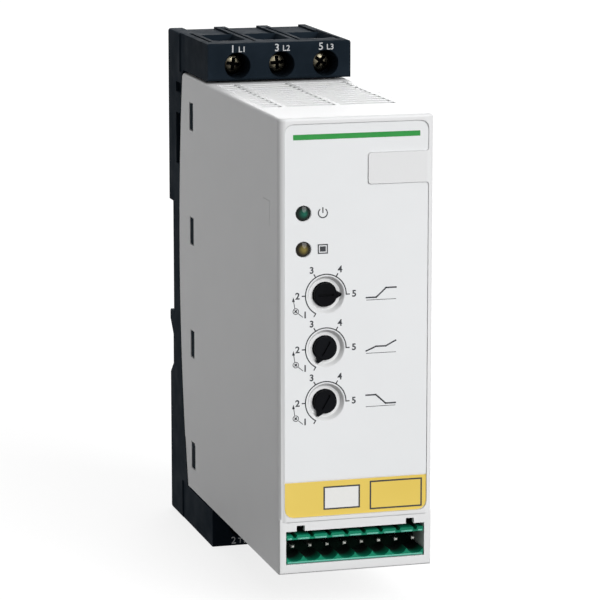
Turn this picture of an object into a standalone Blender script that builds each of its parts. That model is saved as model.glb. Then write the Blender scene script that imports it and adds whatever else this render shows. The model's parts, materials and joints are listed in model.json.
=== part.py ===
"""Soft starter for a small three-phase motor: a black rail-mounted base, a light cover and their contents.

Metres, +Z up, +X to the right as seen from the front, +Y to the rear. The origin is the middle of the rail
seat, on the centre line of the mounting rail. Depths are measured forward from the rear face and heights up
from the foot, because the real object is dimensioned that way.
"""

import math

import bmesh
import bpy
from mathutils import Matrix

# Overall size
WIDTH = 0.045
HEIGHT = 0.154
DEPTH = 0.131

# Clearances
GAP = 0.0003
PIN_GAP = 0.0002

# How far a cutting or joining shape runs past the face it works on
OVERRUN = 0.001

# Mounting rail and its groove
RAIL_WIDTH = 0.035
RAIL_PLAY = 0.0003
RAIL_FLANGE = 0.001
RAIL_HEIGHT = 0.0826
GROOVE_DEPTH = 0.005
RAIL_LIP = 0.0018

# Base housing
BASE_WALL = 0.0018
BASE_FLOOR = 0.003
TONGUE_DEPTH = 0.026
UPPER_BLOCK_DEPTH = 0.0492
LOWER_BLOCK_DEPTH = 0.0522
BLOCK_SIDE_STEP = 0.0004
BLOCK_STEP_DEPTH = 0.0148
BLOCK_STEP_RAMP = 0.0008
COLLAR_LENGTH = 0.0092
BLOCK_EDGE_RADIUS = 0.0007
COVER_TO_BLOCK = 0.0008
NOSE_TOP_CHAMFER = 0.0007
NOSE_FLAT = 0.0024
NOSE_SLOPE = 0.0045
RELIEF_DEPTH = 0.004
RELIEF_LOW = 0.048
FOOT_TOP = 0.0445
POCKET_SKIN = 0.003
SIDE_WINDOW_DEPTH = 0.0012
SIDE_WINDOW_START = 0.0098
SIDE_WINDOW_INSETS = ((0.0154, 0.0186), (0.025, 0.041))
HOOK_WIDTH = 0.010
HOOK_SIDE_INSET = 0.0045
HOOK_THICKNESS = 0.002
FINGER_ROOT = 0.004
FINGER_LEAD = 0.0015

# Terminals, the same in the upper and the lower block; insets run inward from the block's outer face
POLE_COUNT = 3
POLE_SIDE_MARGIN = 0.0088
POLE_SHIFT = 0.0008
SCREW_INSET = 0.0067
WELL_RADIUS = 0.004
WELL_DEPTH = 0.0056
SCREW_HEAD_RADIUS = 0.0033
SCREW_HEAD_THICKNESS = 0.0023
SCREW_HEAD_EDGE = 0.0005
SCREW_SHANK_RADIUS = 0.0017
SCREW_TIP = 0.0004
SCREW_WEB = 0.001
CROSS_LENGTH = 0.0042
CROSS_WIDTH = 0.0009
CROSS_DEPTH = 0.0013
CROSS_TURN = 26.0
CAGE_WIDTH = 0.008
CAGE_LENGTH = 0.011
CAGE_HEIGHT = 0.0073
CAGE_WALL = 0.0012
CAGE_EDGE = 0.0006
CAGE_INSET = 0.0018
CAGE_TRAVEL = 0.0045
BUSBAR_WIDTH = 0.0056
BUSBAR_THICKNESS = 0.0008
BUSBAR_TIP_INSET = 0.0008
BUSBAR_TAIL = 0.0255
BUSBAR_BEND = 0.0008
FUNNEL_WALL = 0.0027
FUNNEL_REAR = 0.0008
FUNNEL_DEPTH = 0.0018
FUNNEL_BULGE = 0.0022
FUNNEL_FRONT = 0.00044
FUNNEL_OVERLAP = 0.0004
FUNNEL_SIDE = 0.0001
FUNNEL_TAPER = 0.9
REAR_RECESS_WALL = 0.0035
REAR_RECESS_DEPTH = 0.0006
REAR_RECESS_END = 0.0006
BARRIER_SLOT_WIDTH = 0.001
BARRIER_SLOT_DEPTH = 0.0045
BARRIER_SLOT_SHORT = 0.018
BARRIER_SLOT_LONG = 0.0055
BARRIER_SLOT_END = 0.0055

# Rail latch and its spring
LATCH_WIDTH = 0.018
LATCH_STEM_WIDTH = 0.014
LATCH_FLANGE = 0.0013
LATCH_FOOT = 0.0008
LATCH_HOOK = 0.0016
LATCH_HOOK_FLAT = 0.0008
LATCH_LEAD = 0.0024
STEM_OVERLAP = 0.0002
PRY_SLOT_WIDTH = 0.006
PRY_SLOT_HEIGHT = 0.0024
PRY_SLOT_INSET = 0.003
SPRING_PEG_HEIGHT = 0.018
SPRING_PEG_SIZE = 0.002
SPRING_LENGTH = 0.014
SPRING_RADIUS = 0.0017
SPRING_END_EASE = 0.5
SPRING_WIRE = 0.0003
SPRING_TURNS = 6
SPRING_STEPS = 12

# Front cover
COVER_BOTTOM = 0.0124
COVER_TOP_INSET = 0.012
COVER_WALL = 0.002
FRONT_WALL = 0.0024
REAR_EDGE_RADIUS = 0.300
REAR_EDGE_DEPTH = 0.0132
REAR_EDGE_HEIGHT = 0.086
REAR_EDGE_STEPS = 18
CORNER_RADIUS = 0.0022
TOP_EDGE_RADIUS = 0.0009
FRAME_FOOT = 0.0274
FRAME_STEP = 0.0005
FRAME_CHAMFER = 0.0004
FRAME_SIDE_STEP = 0.0001
FRAME_EDGE = 0.0005
SNAP_WINDOW_DEPTH = 0.027
SNAP_WINDOW_WIDTH = 0.0048
SNAP_WINDOW_HEIGHT = 0.0086
SNAP_WINDOW_FIRST = 0.0236
SNAP_WINDOW_LAST_INSET = 0.0122
SNAP_COUNT = 4
SNAP_NOSE = 0.0012

# Vent grille, in the cover's top and bottom walls
VENT_SLOT = 0.0032
VENT_PITCH = 0.0046
VENT_FRONT_MARGIN = 0.025
VENT_BACK_MARGIN = 0.0025
VENT_LEFT_MARGIN = 0.0003
VENT_RIGHT_MARGIN = 0.0015
VENT_BARS = (-0.0139, 0.0019)
VENT_BAR_WIDTH = 0.0014

# Corner mark, a fine groove in the cover's left side
MARK_WIDTH = 0.00025
MARK_DEPTH = 0.0002
MARK_SETBACK = 0.010
MARK_LENGTH = 0.0064
MARK_DROP = 0.0073
MARK_TOP_INSET = 0.0241

# Label, marker pad and yellow strip
LABEL_SIDE_MARGIN = 0.0016
LABEL_BOTTOM = 0.0287
LABEL_TOP_MARGIN = 0.0017
LABEL_RADIUS = 0.0024
LABEL_RECESS = 0.0006
FILM_THICKNESS = 0.0002
FILM_SEAT = 0.00005
FILM_MARGIN = 0.00015
PAD_REACH = 0.0192
PAD_HEIGHT = 0.0087
PAD_TOP_INSET = 0.0087
PAD_RADIUS = 0.0008
STRIP_TOP = 0.039

# Dials; a row is a share of the label's clear height over the strip
DIAL_SIDE_INSET = 0.0136
DIAL_ROWS = (0.52419, 0.37414, 0.2231)
DIAL_ANGLES = (0.0, 240.0, 240.0)
DISH_RADIUS = 0.00525
DISH_FLOOR_RADIUS = 0.0045
DISH_DEPTH = 0.0011
KNOB_RADIUS = 0.0033
KNOB_REAR = 0.0004
KNOB_POINTER = 0.0046
KNOB_POINTER_WIDTH = 0.0026
KNOB_POINTER_LIFT = 0.0005
KNOB_PROUD = 0.0004
KNOB_EDGE = 0.0003
KNOB_STEM_RADIUS = 0.0015
KNOB_STEM_OVERLAP = 0.0005
KNOB_SLOT_WIDTH = 0.0007
KNOB_SLOT_LENGTH = 0.0046
KNOB_SLOT_DEPTH = 0.0006
POT_SIZE = 0.0094
POT_HEIGHT = 0.0048
POT_EDGE = 0.0005

# Indicator lamps
LAMP_SIDE_INSET = 0.0071
LAMP_ROWS = (0.75321, 0.6535)
LAMP_RADIUS = 0.002
LAMP_CLEARANCE = 0.0002
LAMP_DOME = 0.0006
LAMP_FLANGE_RADIUS = 0.0028
LAMP_FLANGE = 0.001
CHIP_SIZE = 0.003
CHIP_HEIGHT = 0.0016

# Boards
BOARD_THICKNESS = 0.0016
CONTROL_BOARD_SETBACK = 0.0154
CONTROL_BOARD_MARGIN = 0.0005
CONTROL_BOARD_DROP = 0.0004
CONTROL_BOARD_TOP_MARGIN = 0.011
POST_RADIUS = 0.002
POST_SIDE_INSET = 0.0035
POST_TOP_INSET = 0.004
POWER_BOARD_DEPTH = 0.012
POWER_BOARD_MARGIN = 0.0004
POWER_BOARD_LOW_MARGIN = 0.0005
POWER_BOARD_TOP_MARGIN = 0.0009
BOSS_RADIUS = 0.0024
BOSS_SIDE_INSET = 0.004
BOSS_END_INSET = 0.0045

# Plug header and pins
PLUG_PITCH = 0.00508
PLUG_END_TRIM = 0.00017
PLUG_FLOOR_GAP = 0.001
PLUG_HEIGHT = 0.0082
PLUG_ROOF = 0.0013
PLUG_SETBACK = 0.0008
PLUG_BACK_WALL = 0.0028
TROUGH_RADIUS = 0.00275
TROUGH_RISE = 0.0032
TROUGH_STEPS = 8
KEY_WIDTH = 0.0014
KEY_FLOOR = 0.0008
KEY_DEPTH = 0.0008
PIN_SIZE = 0.001
PIN_LIFT = 0.0013
PIN_SETBACK = 0.0026
PIN_TAIL = 0.0008
PIN_TAPER = 0.5
OPENING_MARGIN = 0.00025
OPENING_LOW_MARGIN = 0.0002
OPENING_TOP_MARGIN = 0.0012
OPENING_NOTCH_INSET = 0.0043
OPENING_NOTCH_WIDTH = 0.0024
OPENING_NOTCH_HEIGHT = 0.0016

# Power parts on the power board
RELAY_SIDE_GAP = 0.0018
RELAY_MIDDLE_GAP = 0.0016
RELAY_HEIGHT = 0.028
RELAY_DEPTH = 0.0197
RELAY_TOP_INSET = 0.015
RELAY_EDGE = 0.0006
MODULE_SIDE_GAP = 0.00185
MODULE_MIDDLE_GAP = 0.00105
MODULE_HEIGHT = 0.020
MODULE_THICKNESS = 0.0052
MODULE_DROP = 0.001
LEAD_RISE = 0.001
LEAD_WIDTH = 0.0012
LEAD_PITCH = 0.0045
LEAD_COUNT = 3
HEATSINK_DEPTH = 0.0243
HEATSINK_PLATE = 0.0037
HEATSINK_LENGTH = 0.036
HEATSINK_MARGIN = 0.0009
HEATSINK_LOW = 0.024
HEATSINK_TO_RELAY = 0.008
FIN_COUNT = 7
FIN_THICKNESS = 0.0018
FIN_TAPER = 0.0002

# Control supply and the cable between the boards
CORE_WIDTH = 0.024
CORE_HEIGHT = 0.020
CORE_DEPTH = 0.010
CORE_LEG = 0.006
CORE_YOKE = 0.0035
COIL_BULGE = 0.004
COIL_EDGE = 0.001
COIL_TO_LEG = 0.0005
TRANSFORMER_TOP_INSET = 0.024
CAPACITOR_RADIUS = 0.005
CAPACITOR_LENGTH = 0.016
CAPACITOR_EDGE = 0.0006
CAPACITOR_XS = (-0.008, 0.006)
CAPACITOR_DROP = 0.0188
SOCKET_WIDTH = 0.012
SOCKET_HEIGHT = 0.0048
SOCKET_LENGTH = 0.0064
SOCKET_SIDE_INSET = 0.001
SOCKET_TO_HEATSINK = 0.0008
RIBBON_WIDTH = 0.010
RIBBON_THICKNESS = 0.001

# Places worked out from the sizes
BACK_Y = GROOVE_DEPTH
FOOT_Z = -RAIL_HEIGHT
GROOVE_TOP = RAIL_HEIGHT + RAIL_WIDTH / 2 + RAIL_PLAY / 2
GROOVE_BOTTOM = RAIL_HEIGHT - RAIL_WIDTH / 2 - RAIL_PLAY / 2
TRAY_FLOOR = GROOVE_DEPTH + BASE_FLOOR
INNER_HALF = WIDTH / 2 - COVER_WALL
TONGUE_HALF = INNER_HALF - GAP
TRAY_HALF = TONGUE_HALF - BASE_WALL
COVER_TOP = HEIGHT - COVER_TOP_INSET
TRAY_LOW = COVER_BOTTOM + COVER_WALL + GAP + BASE_WALL
TRAY_HIGH = COVER_TOP - COVER_WALL - GAP - BASE_WALL
FRONT_INNER = DEPTH - FRONT_WALL
LABEL_FLOOR = DEPTH - LABEL_RECESS
DISH_FLOOR = LABEL_FLOOR - DISH_DEPTH
POLE_PITCH = (WIDTH - 2 * POLE_SIDE_MARGIN) / (POLE_COUNT - 1)
POLES = [POLE_SHIFT + (index - (POLE_COUNT - 1) / 2) * POLE_PITCH for index in range(POLE_COUNT)]
FUNNEL_WIDTH = POLE_PITCH - FUNNEL_WALL
REAR_RECESS_WIDTH = POLE_PITCH - REAR_RECESS_WALL
HOOK_X = WIDTH / 2 - HOOK_SIDE_INSET - HOOK_WIDTH / 2
SNAP_LAST = COVER_TOP - SNAP_WINDOW_LAST_INSET
SNAP_PITCH = (SNAP_LAST - SNAP_WINDOW_FIRST) / (SNAP_COUNT - 1)
SNAP_HEIGHTS = [SNAP_WINDOW_FIRST + index * SNAP_PITCH for index in range(SNAP_COUNT)]
VENT_LEFT = -(INNER_HALF - VENT_LEFT_MARGIN)
VENT_RIGHT = INNER_HALF - VENT_RIGHT_MARGIN
LABEL_HALF_WIDTH = WIDTH / 2 - LABEL_SIDE_MARGIN
LABEL_TOP = COVER_TOP - LABEL_TOP_MARGIN
PAD_LEFT = WIDTH / 2 - PAD_REACH
PAD_HIGH = LABEL_TOP - PAD_TOP_INSET
PAD_LOW = PAD_HIGH - PAD_HEIGHT
DIAL_X = DIAL_SIDE_INSET - WIDTH / 2
DIAL_HEIGHTS = [STRIP_TOP + row * (LABEL_TOP - STRIP_TOP) for row in DIAL_ROWS]
LAMP_X = LAMP_SIDE_INSET - WIDTH / 2
LAMP_HEIGHTS = [STRIP_TOP + row * (LABEL_TOP - STRIP_TOP) for row in LAMP_ROWS]
PLUG_POLES = int((2 * INNER_HALF - GAP) / PLUG_PITCH)
PLUG_XS = [(index - (PLUG_POLES - 1) / 2) * PLUG_PITCH for index in range(PLUG_POLES)]
PLUG_HALF_WIDTH = PLUG_POLES * PLUG_PITCH / 2 - PLUG_END_TRIM
PLUG_FRONT = DEPTH - PLUG_SETBACK
PLUG_BOTTOM = COVER_BOTTOM + COVER_WALL + PLUG_FLOOR_GAP
PLUG_TOP = PLUG_BOTTOM + PLUG_HEIGHT
PLUG_CEILING = PLUG_TOP - PLUG_ROOF
TROUGH_HEIGHT = PLUG_BOTTOM + TROUGH_RISE
PIN_HEIGHT = TROUGH_HEIGHT + PIN_LIFT
PIN_TIP = DEPTH - PIN_SETBACK
OPENING_HALF_WIDTH = PLUG_HALF_WIDTH + OPENING_MARGIN
OPENING_NOTCH_X = OPENING_HALF_WIDTH - OPENING_NOTCH_INSET
OPENING_LOW = PLUG_BOTTOM - OPENING_LOW_MARGIN
OPENING_HIGH = PLUG_TOP + OPENING_TOP_MARGIN
CONTROL_BOARD_DEPTH = DEPTH - CONTROL_BOARD_SETBACK
CONTROL_BOARD_FRONT = CONTROL_BOARD_DEPTH + BOARD_THICKNESS
CONTROL_BOARD_HALF_WIDTH = INNER_HALF - CONTROL_BOARD_MARGIN
CONTROL_BOARD_LOW = PLUG_BOTTOM - CONTROL_BOARD_DROP
CONTROL_BOARD_HIGH = COVER_TOP - CONTROL_BOARD_TOP_MARGIN
POST_X = CONTROL_BOARD_HALF_WIDTH - POST_SIDE_INSET
POST_HEIGHT = CONTROL_BOARD_HIGH - POST_TOP_INSET
POWER_BOARD_FRONT = POWER_BOARD_DEPTH + BOARD_THICKNESS
POWER_BOARD_HALF_WIDTH = TRAY_HALF - POWER_BOARD_MARGIN
POWER_BOARD_LOW = TRAY_LOW + POWER_BOARD_LOW_MARGIN
POWER_BOARD_HIGH = TRAY_HIGH - POWER_BOARD_TOP_MARGIN
BOSS_X = POWER_BOARD_HALF_WIDTH - BOSS_SIDE_INSET
BOSS_HEIGHTS = (POWER_BOARD_LOW + BOSS_END_INSET, POWER_BOARD_HIGH - BOSS_END_INSET)
RELAY_WIDTH = TRAY_HALF - RELAY_SIDE_GAP - RELAY_MIDDLE_GAP
RELAY_X = RELAY_MIDDLE_GAP + RELAY_WIDTH / 2
RELAY_LOW = POWER_BOARD_HIGH - RELAY_TOP_INSET - RELAY_HEIGHT
HEATSINK_HALF_WIDTH = TRAY_HALF - HEATSINK_MARGIN
HEATSINK_HIGH = RELAY_LOW - HEATSINK_TO_RELAY
MODULE_WIDTH = TRAY_HALF - MODULE_SIDE_GAP - MODULE_MIDDLE_GAP
MODULE_X = MODULE_MIDDLE_GAP + MODULE_WIDTH / 2
MODULE_LOW = (HEATSINK_LOW + HEATSINK_HIGH) / 2 - MODULE_HEIGHT / 2 - MODULE_DROP
SOCKET_X = POWER_BOARD_HALF_WIDTH - SOCKET_SIDE_INSET - SOCKET_WIDTH / 2
SOCKET_LOW = HEATSINK_HIGH + SOCKET_TO_HEATSINK
TRANSFORMER_HEIGHT = CONTROL_BOARD_HIGH - TRANSFORMER_TOP_INSET
CAPACITOR_HEIGHT = SOCKET_LOW - CAPACITOR_DROP


def at_depth(depth):
    """World Y of a depth measured forward from the rear face."""
    return BACK_Y - depth


def at_height(height):
    """World Z of a height measured up from the foot."""
    return FOOT_Z + height


def deep(back, front):
    """World Y span of a pair of depths."""
    return at_depth(front), at_depth(back)


def rear_edge(height, grow=0.0):
    """Depth of the cover's curved rear edge at a height, or of the same curve grown to the rear."""
    radius = REAR_EDGE_RADIUS + grow
    rise = height - REAR_EDGE_HEIGHT
    return REAR_EDGE_DEPTH + REAR_EDGE_RADIUS - math.sqrt(radius ** 2 - rise ** 2)


# Scene and collections
for old in list(bpy.data.objects):
    bpy.data.objects.remove(old, do_unlink=True)
PARTS = bpy.data.collections.new("soft_starter")
CUTTERS = bpy.data.collections.new("cutters")
bpy.context.scene.collection.children.link(PARTS)
bpy.context.scene.collection.children.link(CUTTERS)


def material(name, color, roughness, metallic=0.0):
    made = bpy.data.materials.new(name)
    made.use_nodes = True
    shader = made.node_tree.nodes["Principled BSDF"]
    shader.inputs["Base Color"].default_value = (*color, 1.0)
    shader.inputs["Roughness"].default_value = roughness
    shader.inputs["Metallic"].default_value = metallic
    return made


BLACK_PLASTIC = material("black_plastic", (0.022, 0.028, 0.036), 0.5)
COVER_PLASTIC = material("cover_plastic", (0.80, 0.81, 0.82), 0.45)
LABEL_FILM = material("label_film", (0.84, 0.86, 0.88), 0.35)
YELLOW_FILM = material("yellow_film", (0.85, 0.62, 0.09), 0.4)
KNOB_PLASTIC = material("knob_plastic", (0.012, 0.013, 0.016), 0.45)
HEADER_PLASTIC = material("header_plastic", (0.01, 0.30, 0.16), 0.4)
GREEN_LENS = material("green_lens", (0.01, 0.19, 0.11), 0.2)
AMBER_LENS = material("amber_lens", (0.27, 0.23, 0.06), 0.2)
PLATED_STEEL = material("plated_steel", (0.62, 0.56, 0.44), 0.32, 1.0)
CAGE_STEEL = material("cage_steel", (0.55, 0.55, 0.55), 0.4, 1.0)
COPPER_STRIP = material("copper_strip", (0.72, 0.62, 0.55), 0.35, 1.0)
TINNED_PIN = material("tinned_pin", (0.70, 0.70, 0.68), 0.25, 1.0)
SPRING_STEEL = material("spring_steel", (0.45, 0.45, 0.46), 0.35, 1.0)
BOARD_LAMINATE = material("board_laminate", (0.02, 0.16, 0.07), 0.5)
EXTRUSION = material("extrusion", (0.60, 0.61, 0.62), 0.4, 1.0)
MOULDED_EPOXY = material("moulded_epoxy", (0.02, 0.02, 0.022), 0.6)
RELAY_CASE = material("relay_case", (0.05, 0.055, 0.06), 0.45)
LAMINATION = material("lamination", (0.16, 0.16, 0.17), 0.55, 0.8)
COIL_TAPE = material("coil_tape", (0.72, 0.52, 0.10), 0.6)
CAPACITOR_SLEEVE = material("capacitor_sleeve", (0.03, 0.04, 0.09), 0.4)
SOCKET_PLASTIC = material("socket_plastic", (0.75, 0.73, 0.66), 0.5)
RIBBON_PLASTIC = material("ribbon_plastic", (0.42, 0.43, 0.45), 0.55)

# Axes of a flat outline: its first and second coordinate, and the way it is drawn out
SIDE_PLANE = Matrix(((0, 0, 1, 0), (1, 0, 0, 0), (0, 1, 0, 0), (0, 0, 0, 1)))
FRONT_PLANE = Matrix(((1, 0, 0, 0), (0, 0, 1, 0), (0, 1, 0, 0), (0, 0, 0, 1)))
LEVEL_PLANE = Matrix.Identity(4)


def add_outline(bm, loops, plane, low, high):
    """Fills a flat outline, with any holes, draws it out from low to high and welds it into the mesh."""
    curve = bpy.data.curves.new("outline", "CURVE")
    curve.dimensions = "2D"
    curve.fill_mode = "BOTH"
    curve.extrude = (high - low) / 2
    for loop in loops:
        spline = curve.splines.new("POLY")
        spline.points.add(len(loop) - 1)
        for point, (first, second) in zip(spline.points, loop):
            point.co = (first, second, 0.0, 1.0)
        spline.use_cyclic_u = True
    holder = bpy.data.objects.new("outline", curve)
    bpy.context.scene.collection.objects.link(holder)
    graph = bpy.context.evaluated_depsgraph_get()
    mesh = bpy.data.meshes.new_from_object(holder.evaluated_get(graph))
    bpy.data.objects.remove(holder)
    drawn = bmesh.new()
    drawn.from_mesh(mesh)
    bmesh.ops.remove_doubles(drawn, verts=drawn.verts, dist=1e-6)
    middle = (low + high) / 2
    bmesh.ops.transform(drawn, matrix=plane @ Matrix.Translation((0, 0, middle)), verts=drawn.verts)
    bmesh.ops.recalc_face_normals(drawn, faces=drawn.faces)
    drawn.to_mesh(mesh)
    drawn.free()
    bm.from_mesh(mesh)


def add_box(bm, x, depth, height):
    """A box given by its spans across the width, forward from the rear face and up from the foot."""
    spans = (x, (at_depth(depth[1]), at_depth(depth[0])), (at_height(height[0]), at_height(height[1])))
    centre = [(low + high) / 2 for low, high in spans]
    size = [high - low for low, high in spans]
    place = Matrix.Translation(centre) @ Matrix.Diagonal((*size, 1.0))
    return bmesh.ops.create_cube(bm, size=1.0, matrix=place)["verts"]


def add_rod(bm, x, height, depth, radius, sides=20, front_radius=None):
    """A round rod or cone along the depth; radius is at its rear end."""
    length = depth[1] - depth[0]
    centre = (x, at_depth((depth[0] + depth[1]) / 2), at_height(height))
    turn = Matrix.Rotation(math.pi / 2, 4, "X")
    front = radius if front_radius is None else front_radius
    made = bmesh.ops.create_cone(
        bm, cap_ends=True, segments=sides, radius1=radius, radius2=front, depth=length,
        matrix=Matrix.Translation(centre) @ turn,
    )
    return made["verts"]


def arc_points(centre, radius, start, end, steps):
    """Points along an arc, angles in degrees, both ends included."""
    return [
        (
            centre[0] + radius * math.cos(math.radians(start + (end - start) * step / steps)),
            centre[1] + radius * math.sin(math.radians(start + (end - start) * step / steps)),
        )
        for step in range(steps + 1)
    ]


def rounded(corners, steps=4):
    """An outline whose corners, given as (first, second, radius), are rounded by arcs."""
    points = []
    count = len(corners)
    for index, (px, py, radius) in enumerate(corners):
        if radius <= 0:
            points.append((px, py))
            continue
        before = corners[index - 1]
        after = corners[(index + 1) % count]
        ways = []
        for other in (before, after):
            span = math.hypot(other[0] - px, other[1] - py)
            ways.append(((other[0] - px) / span, (other[1] - py) / span))
        half = math.acos(max(-1.0, min(1.0, ways[0][0] * ways[1][0] + ways[0][1] * ways[1][1]))) / 2
        middle = (ways[0][0] + ways[1][0], ways[0][1] + ways[1][1])
        norm = math.hypot(*middle)
        reach = radius / math.sin(half)
        cx = px + middle[0] / norm * reach
        cy = py + middle[1] / norm * reach
        first = (px + ways[0][0] * radius / math.tan(half), py + ways[0][1] * radius / math.tan(half))
        last = (px + ways[1][0] * radius / math.tan(half), py + ways[1][1] * radius / math.tan(half))
        start = math.atan2(first[1] - cy, first[0] - cx)
        sweep = math.atan2(last[1] - cy, last[0] - cx) - start
        sweep = (sweep + math.pi) % (2 * math.pi) - math.pi
        for step in range(steps + 1):
            angle = start + sweep * step / steps
            points.append((cx + radius * math.cos(angle), cy + radius * math.sin(angle)))
    return points


def piece(name, bm, finish, origin=(0.0, 0.0, 0.0), smooth=None):
    """Makes the mesh one named piece, its origin where it turns or slides."""
    bmesh.ops.transform(bm, matrix=Matrix.Translation([-part for part in origin]), verts=bm.verts)
    mesh = bpy.data.meshes.new(name)
    bm.to_mesh(mesh)
    bm.free()
    mesh.materials.append(finish)
    if smooth is not None:
        mesh.shade_smooth()
        mesh.set_sharp_from_angle(angle=math.radians(smooth))
    made = bpy.data.objects.new(name, mesh)
    made.location = origin
    PARTS.objects.link(made)
    return made


def turned(name, profile, finish, origin, steps):
    """A shape turned about the depth axis; its profile holds (forward, radius) pairs from the front."""
    bm = bmesh.new()
    verts = [bm.verts.new((radius, 0.0, forward)) for forward, radius in profile]
    for first, second in zip(verts, verts[1:]):
        bm.edges.new((first, second))
    mesh = bpy.data.meshes.new(name)
    bm.to_mesh(mesh)
    bm.free()
    mesh.materials.append(finish)
    made = bpy.data.objects.new(name, mesh)
    made.location = origin
    made.rotation_euler = (math.pi / 2, 0.0, 0.0)
    spin = made.modifiers.new("turned", "SCREW")
    spin.axis = "Z"
    spin.steps = steps
    spin.render_steps = steps
    spin.use_merge_vertices = True
    spin.merge_threshold = 0.00001
    spin.use_smooth_shade = True
    PARTS.objects.link(made)
    return made


def cutter(name, bm, origin=(0.0, 0.0, 0.0)):
    """Keeps a tool body out of the finished part, under the given origin."""
    bmesh.ops.transform(bm, matrix=Matrix.Translation([-part for part in origin]), verts=bm.verts)
    mesh = bpy.data.meshes.new(name)
    bm.to_mesh(mesh)
    bm.free()
    made = bpy.data.objects.new(name, mesh)
    made.location = origin
    made.hide_render = True
    made.display_type = "WIRE"
    CUTTERS.objects.link(made)
    return made


def boolean(target, tool, operation="DIFFERENCE"):
    step = target.modifiers.new(tool.name, "BOOLEAN")
    step.operation = operation
    step.solver = "EXACT"
    step.object = tool


def bevel_edges(bm, chosen, width, segments):
    bmesh.ops.bevel(
        bm, geom=chosen, offset=width, offset_type="OFFSET", segments=segments, profile=0.5,
        affect="EDGES", clamp_overlap=True, material=-1,
    )


def edges_where(bm, test):
    """Edges whose two ends both pass the test."""
    return [edge for edge in bm.edges if all(test(vert.co) for vert in edge.verts)]


def near(first, second):
    return abs(first - second) < 1e-5


def turned_outline(points, x, height, degrees):
    """World (X, Z) pairs of a front outline turned anticlockwise about a point."""
    turn = math.radians(degrees)
    return [
        (
            x + first * math.cos(turn) - second * math.sin(turn),
            at_height(height) + first * math.sin(turn) + second * math.cos(turn),
        )
        for first, second in points
    ]


def side_outline(points):
    """Turns (depth, height) pairs into world (Y, Z) pairs."""
    return [(at_depth(depth), at_height(height)) for depth, height in points]


def front_outline(points):
    """Turns (x, height) pairs into world (X, Z) pairs."""
    return [(x, at_height(height)) for x, height in points]


def edge_curve(low, high, grow):
    """The cover's rear edge as (depth, height) pairs from low to high."""
    heights = [low + (high - low) * step / REAR_EDGE_STEPS for step in range(REAR_EDGE_STEPS + 1)]
    return [(rear_edge(height, grow), height) for height in heights]


# Terminal measures, from the outer face of either block
class Block:
    """One terminal block: side is 1 for the upper one and -1 for the lower one."""

    def __init__(self, tag, side, depth):
        self.tag = tag
        self.side = side
        self.depth = depth
        self.head_front = depth - WELL_DEPTH
        self.head_back = self.head_front - SCREW_HEAD_THICKNESS
        self.web_front = self.head_back - GAP
        self.web_back = self.web_front - SCREW_WEB
        self.cage_front = self.web_back - GAP - CAGE_TRAVEL
        self.cage_back = self.cage_front - CAGE_LENGTH
        self.chamber_back = self.cage_back - GAP
        self.tongue = self.cage_back + CAGE_WALL + CAGE_TRAVEL + GAP + BUSBAR_THICKNESS / 2
        self.leg_inset = CAGE_INSET + CAGE_HEIGHT + GAP + BUSBAR_THICKNESS / 2
        self.chamber_inset = self.leg_inset + BUSBAR_THICKNESS / 2 + GAP
        self.tail_depth = POWER_BOARD_FRONT + GAP + BUSBAR_THICKNESS / 2

    def height(self, inset):
        """Height above the foot of a point at this inset from the block's outer face."""
        return HEIGHT - inset if self.side > 0 else inset

    def span(self, low, high):
        return tuple(sorted((self.height(low), self.height(high))))


BLOCKS = (Block("u", 1, UPPER_BLOCK_DEPTH), Block("l", -1, LOWER_BLOCK_DEPTH))


# Base housing: one moulding with the rail groove, the tray and both terminal blocks
def base_profile():
    """The moulding seen from its side, as (depth, height) pairs."""
    upper, lower = BLOCKS
    upper_under = COVER_TOP + COVER_TO_BLOCK
    lower_over = COVER_BOTTOM - COVER_TO_BLOCK
    tongue_low = COVER_BOTTOM + COVER_WALL + GAP
    tongue_high = COVER_TOP - COVER_WALL - GAP
    shoulder_high = rear_edge(COVER_TOP - COVER_WALL) - GAP
    shoulder_low = rear_edge(COVER_BOTTOM + COVER_WALL) - GAP
    nose_high = GROOVE_BOTTOM - NOSE_TOP_CHAMFER
    nose_low = nose_high - NOSE_FLAT
    relief_high = nose_low - NOSE_SLOPE
    return [
        (0, 0), (0, FOOT_TOP), (RELIEF_DEPTH, RELIEF_LOW), (RELIEF_DEPTH, relief_high), (0, nose_low),
        (0, nose_high), (NOSE_TOP_CHAMFER, GROOVE_BOTTOM), (GROOVE_DEPTH, GROOVE_BOTTOM),
        (GROOVE_DEPTH, GROOVE_TOP), (0, GROOVE_TOP), (0, HEIGHT), (upper.depth, HEIGHT),
        (upper.depth, upper_under), (shoulder_high, upper_under), (shoulder_high, tongue_high),
        (TONGUE_DEPTH, tongue_high), (TONGUE_DEPTH, tongue_low), (shoulder_low, tongue_low),
        (shoulder_low, lower_over), (lower.depth, lower_over), (lower.depth, 0),
    ]


def make_base():
    bm = bmesh.new()
    add_outline(bm, [side_outline(base_profile())], SIDE_PLANE, -WIDTH / 2, WIDTH / 2)
    bmesh.ops.dissolve_limit(bm, angle_limit=0.001, verts=bm.verts, edges=bm.edges)
    outer = []
    for block in BLOCKS:
        face = at_height(block.height(0))
        front = at_depth(block.depth)
        outer += [edge for edge in edges_where(bm, lambda co: near(co.z, face))
                  if not all(near(vert.co.y, BACK_Y) for vert in edge.verts)]
        outer += edges_where(bm, lambda co: near(co.y, front) and near(abs(co.x), WIDTH / 2))
    bevel_edges(bm, list(set(outer)), BLOCK_EDGE_RADIUS, 2)
    return piece("base_housing", bm, BLACK_PLASTIC, smooth=35)


BASE = make_base()


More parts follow.
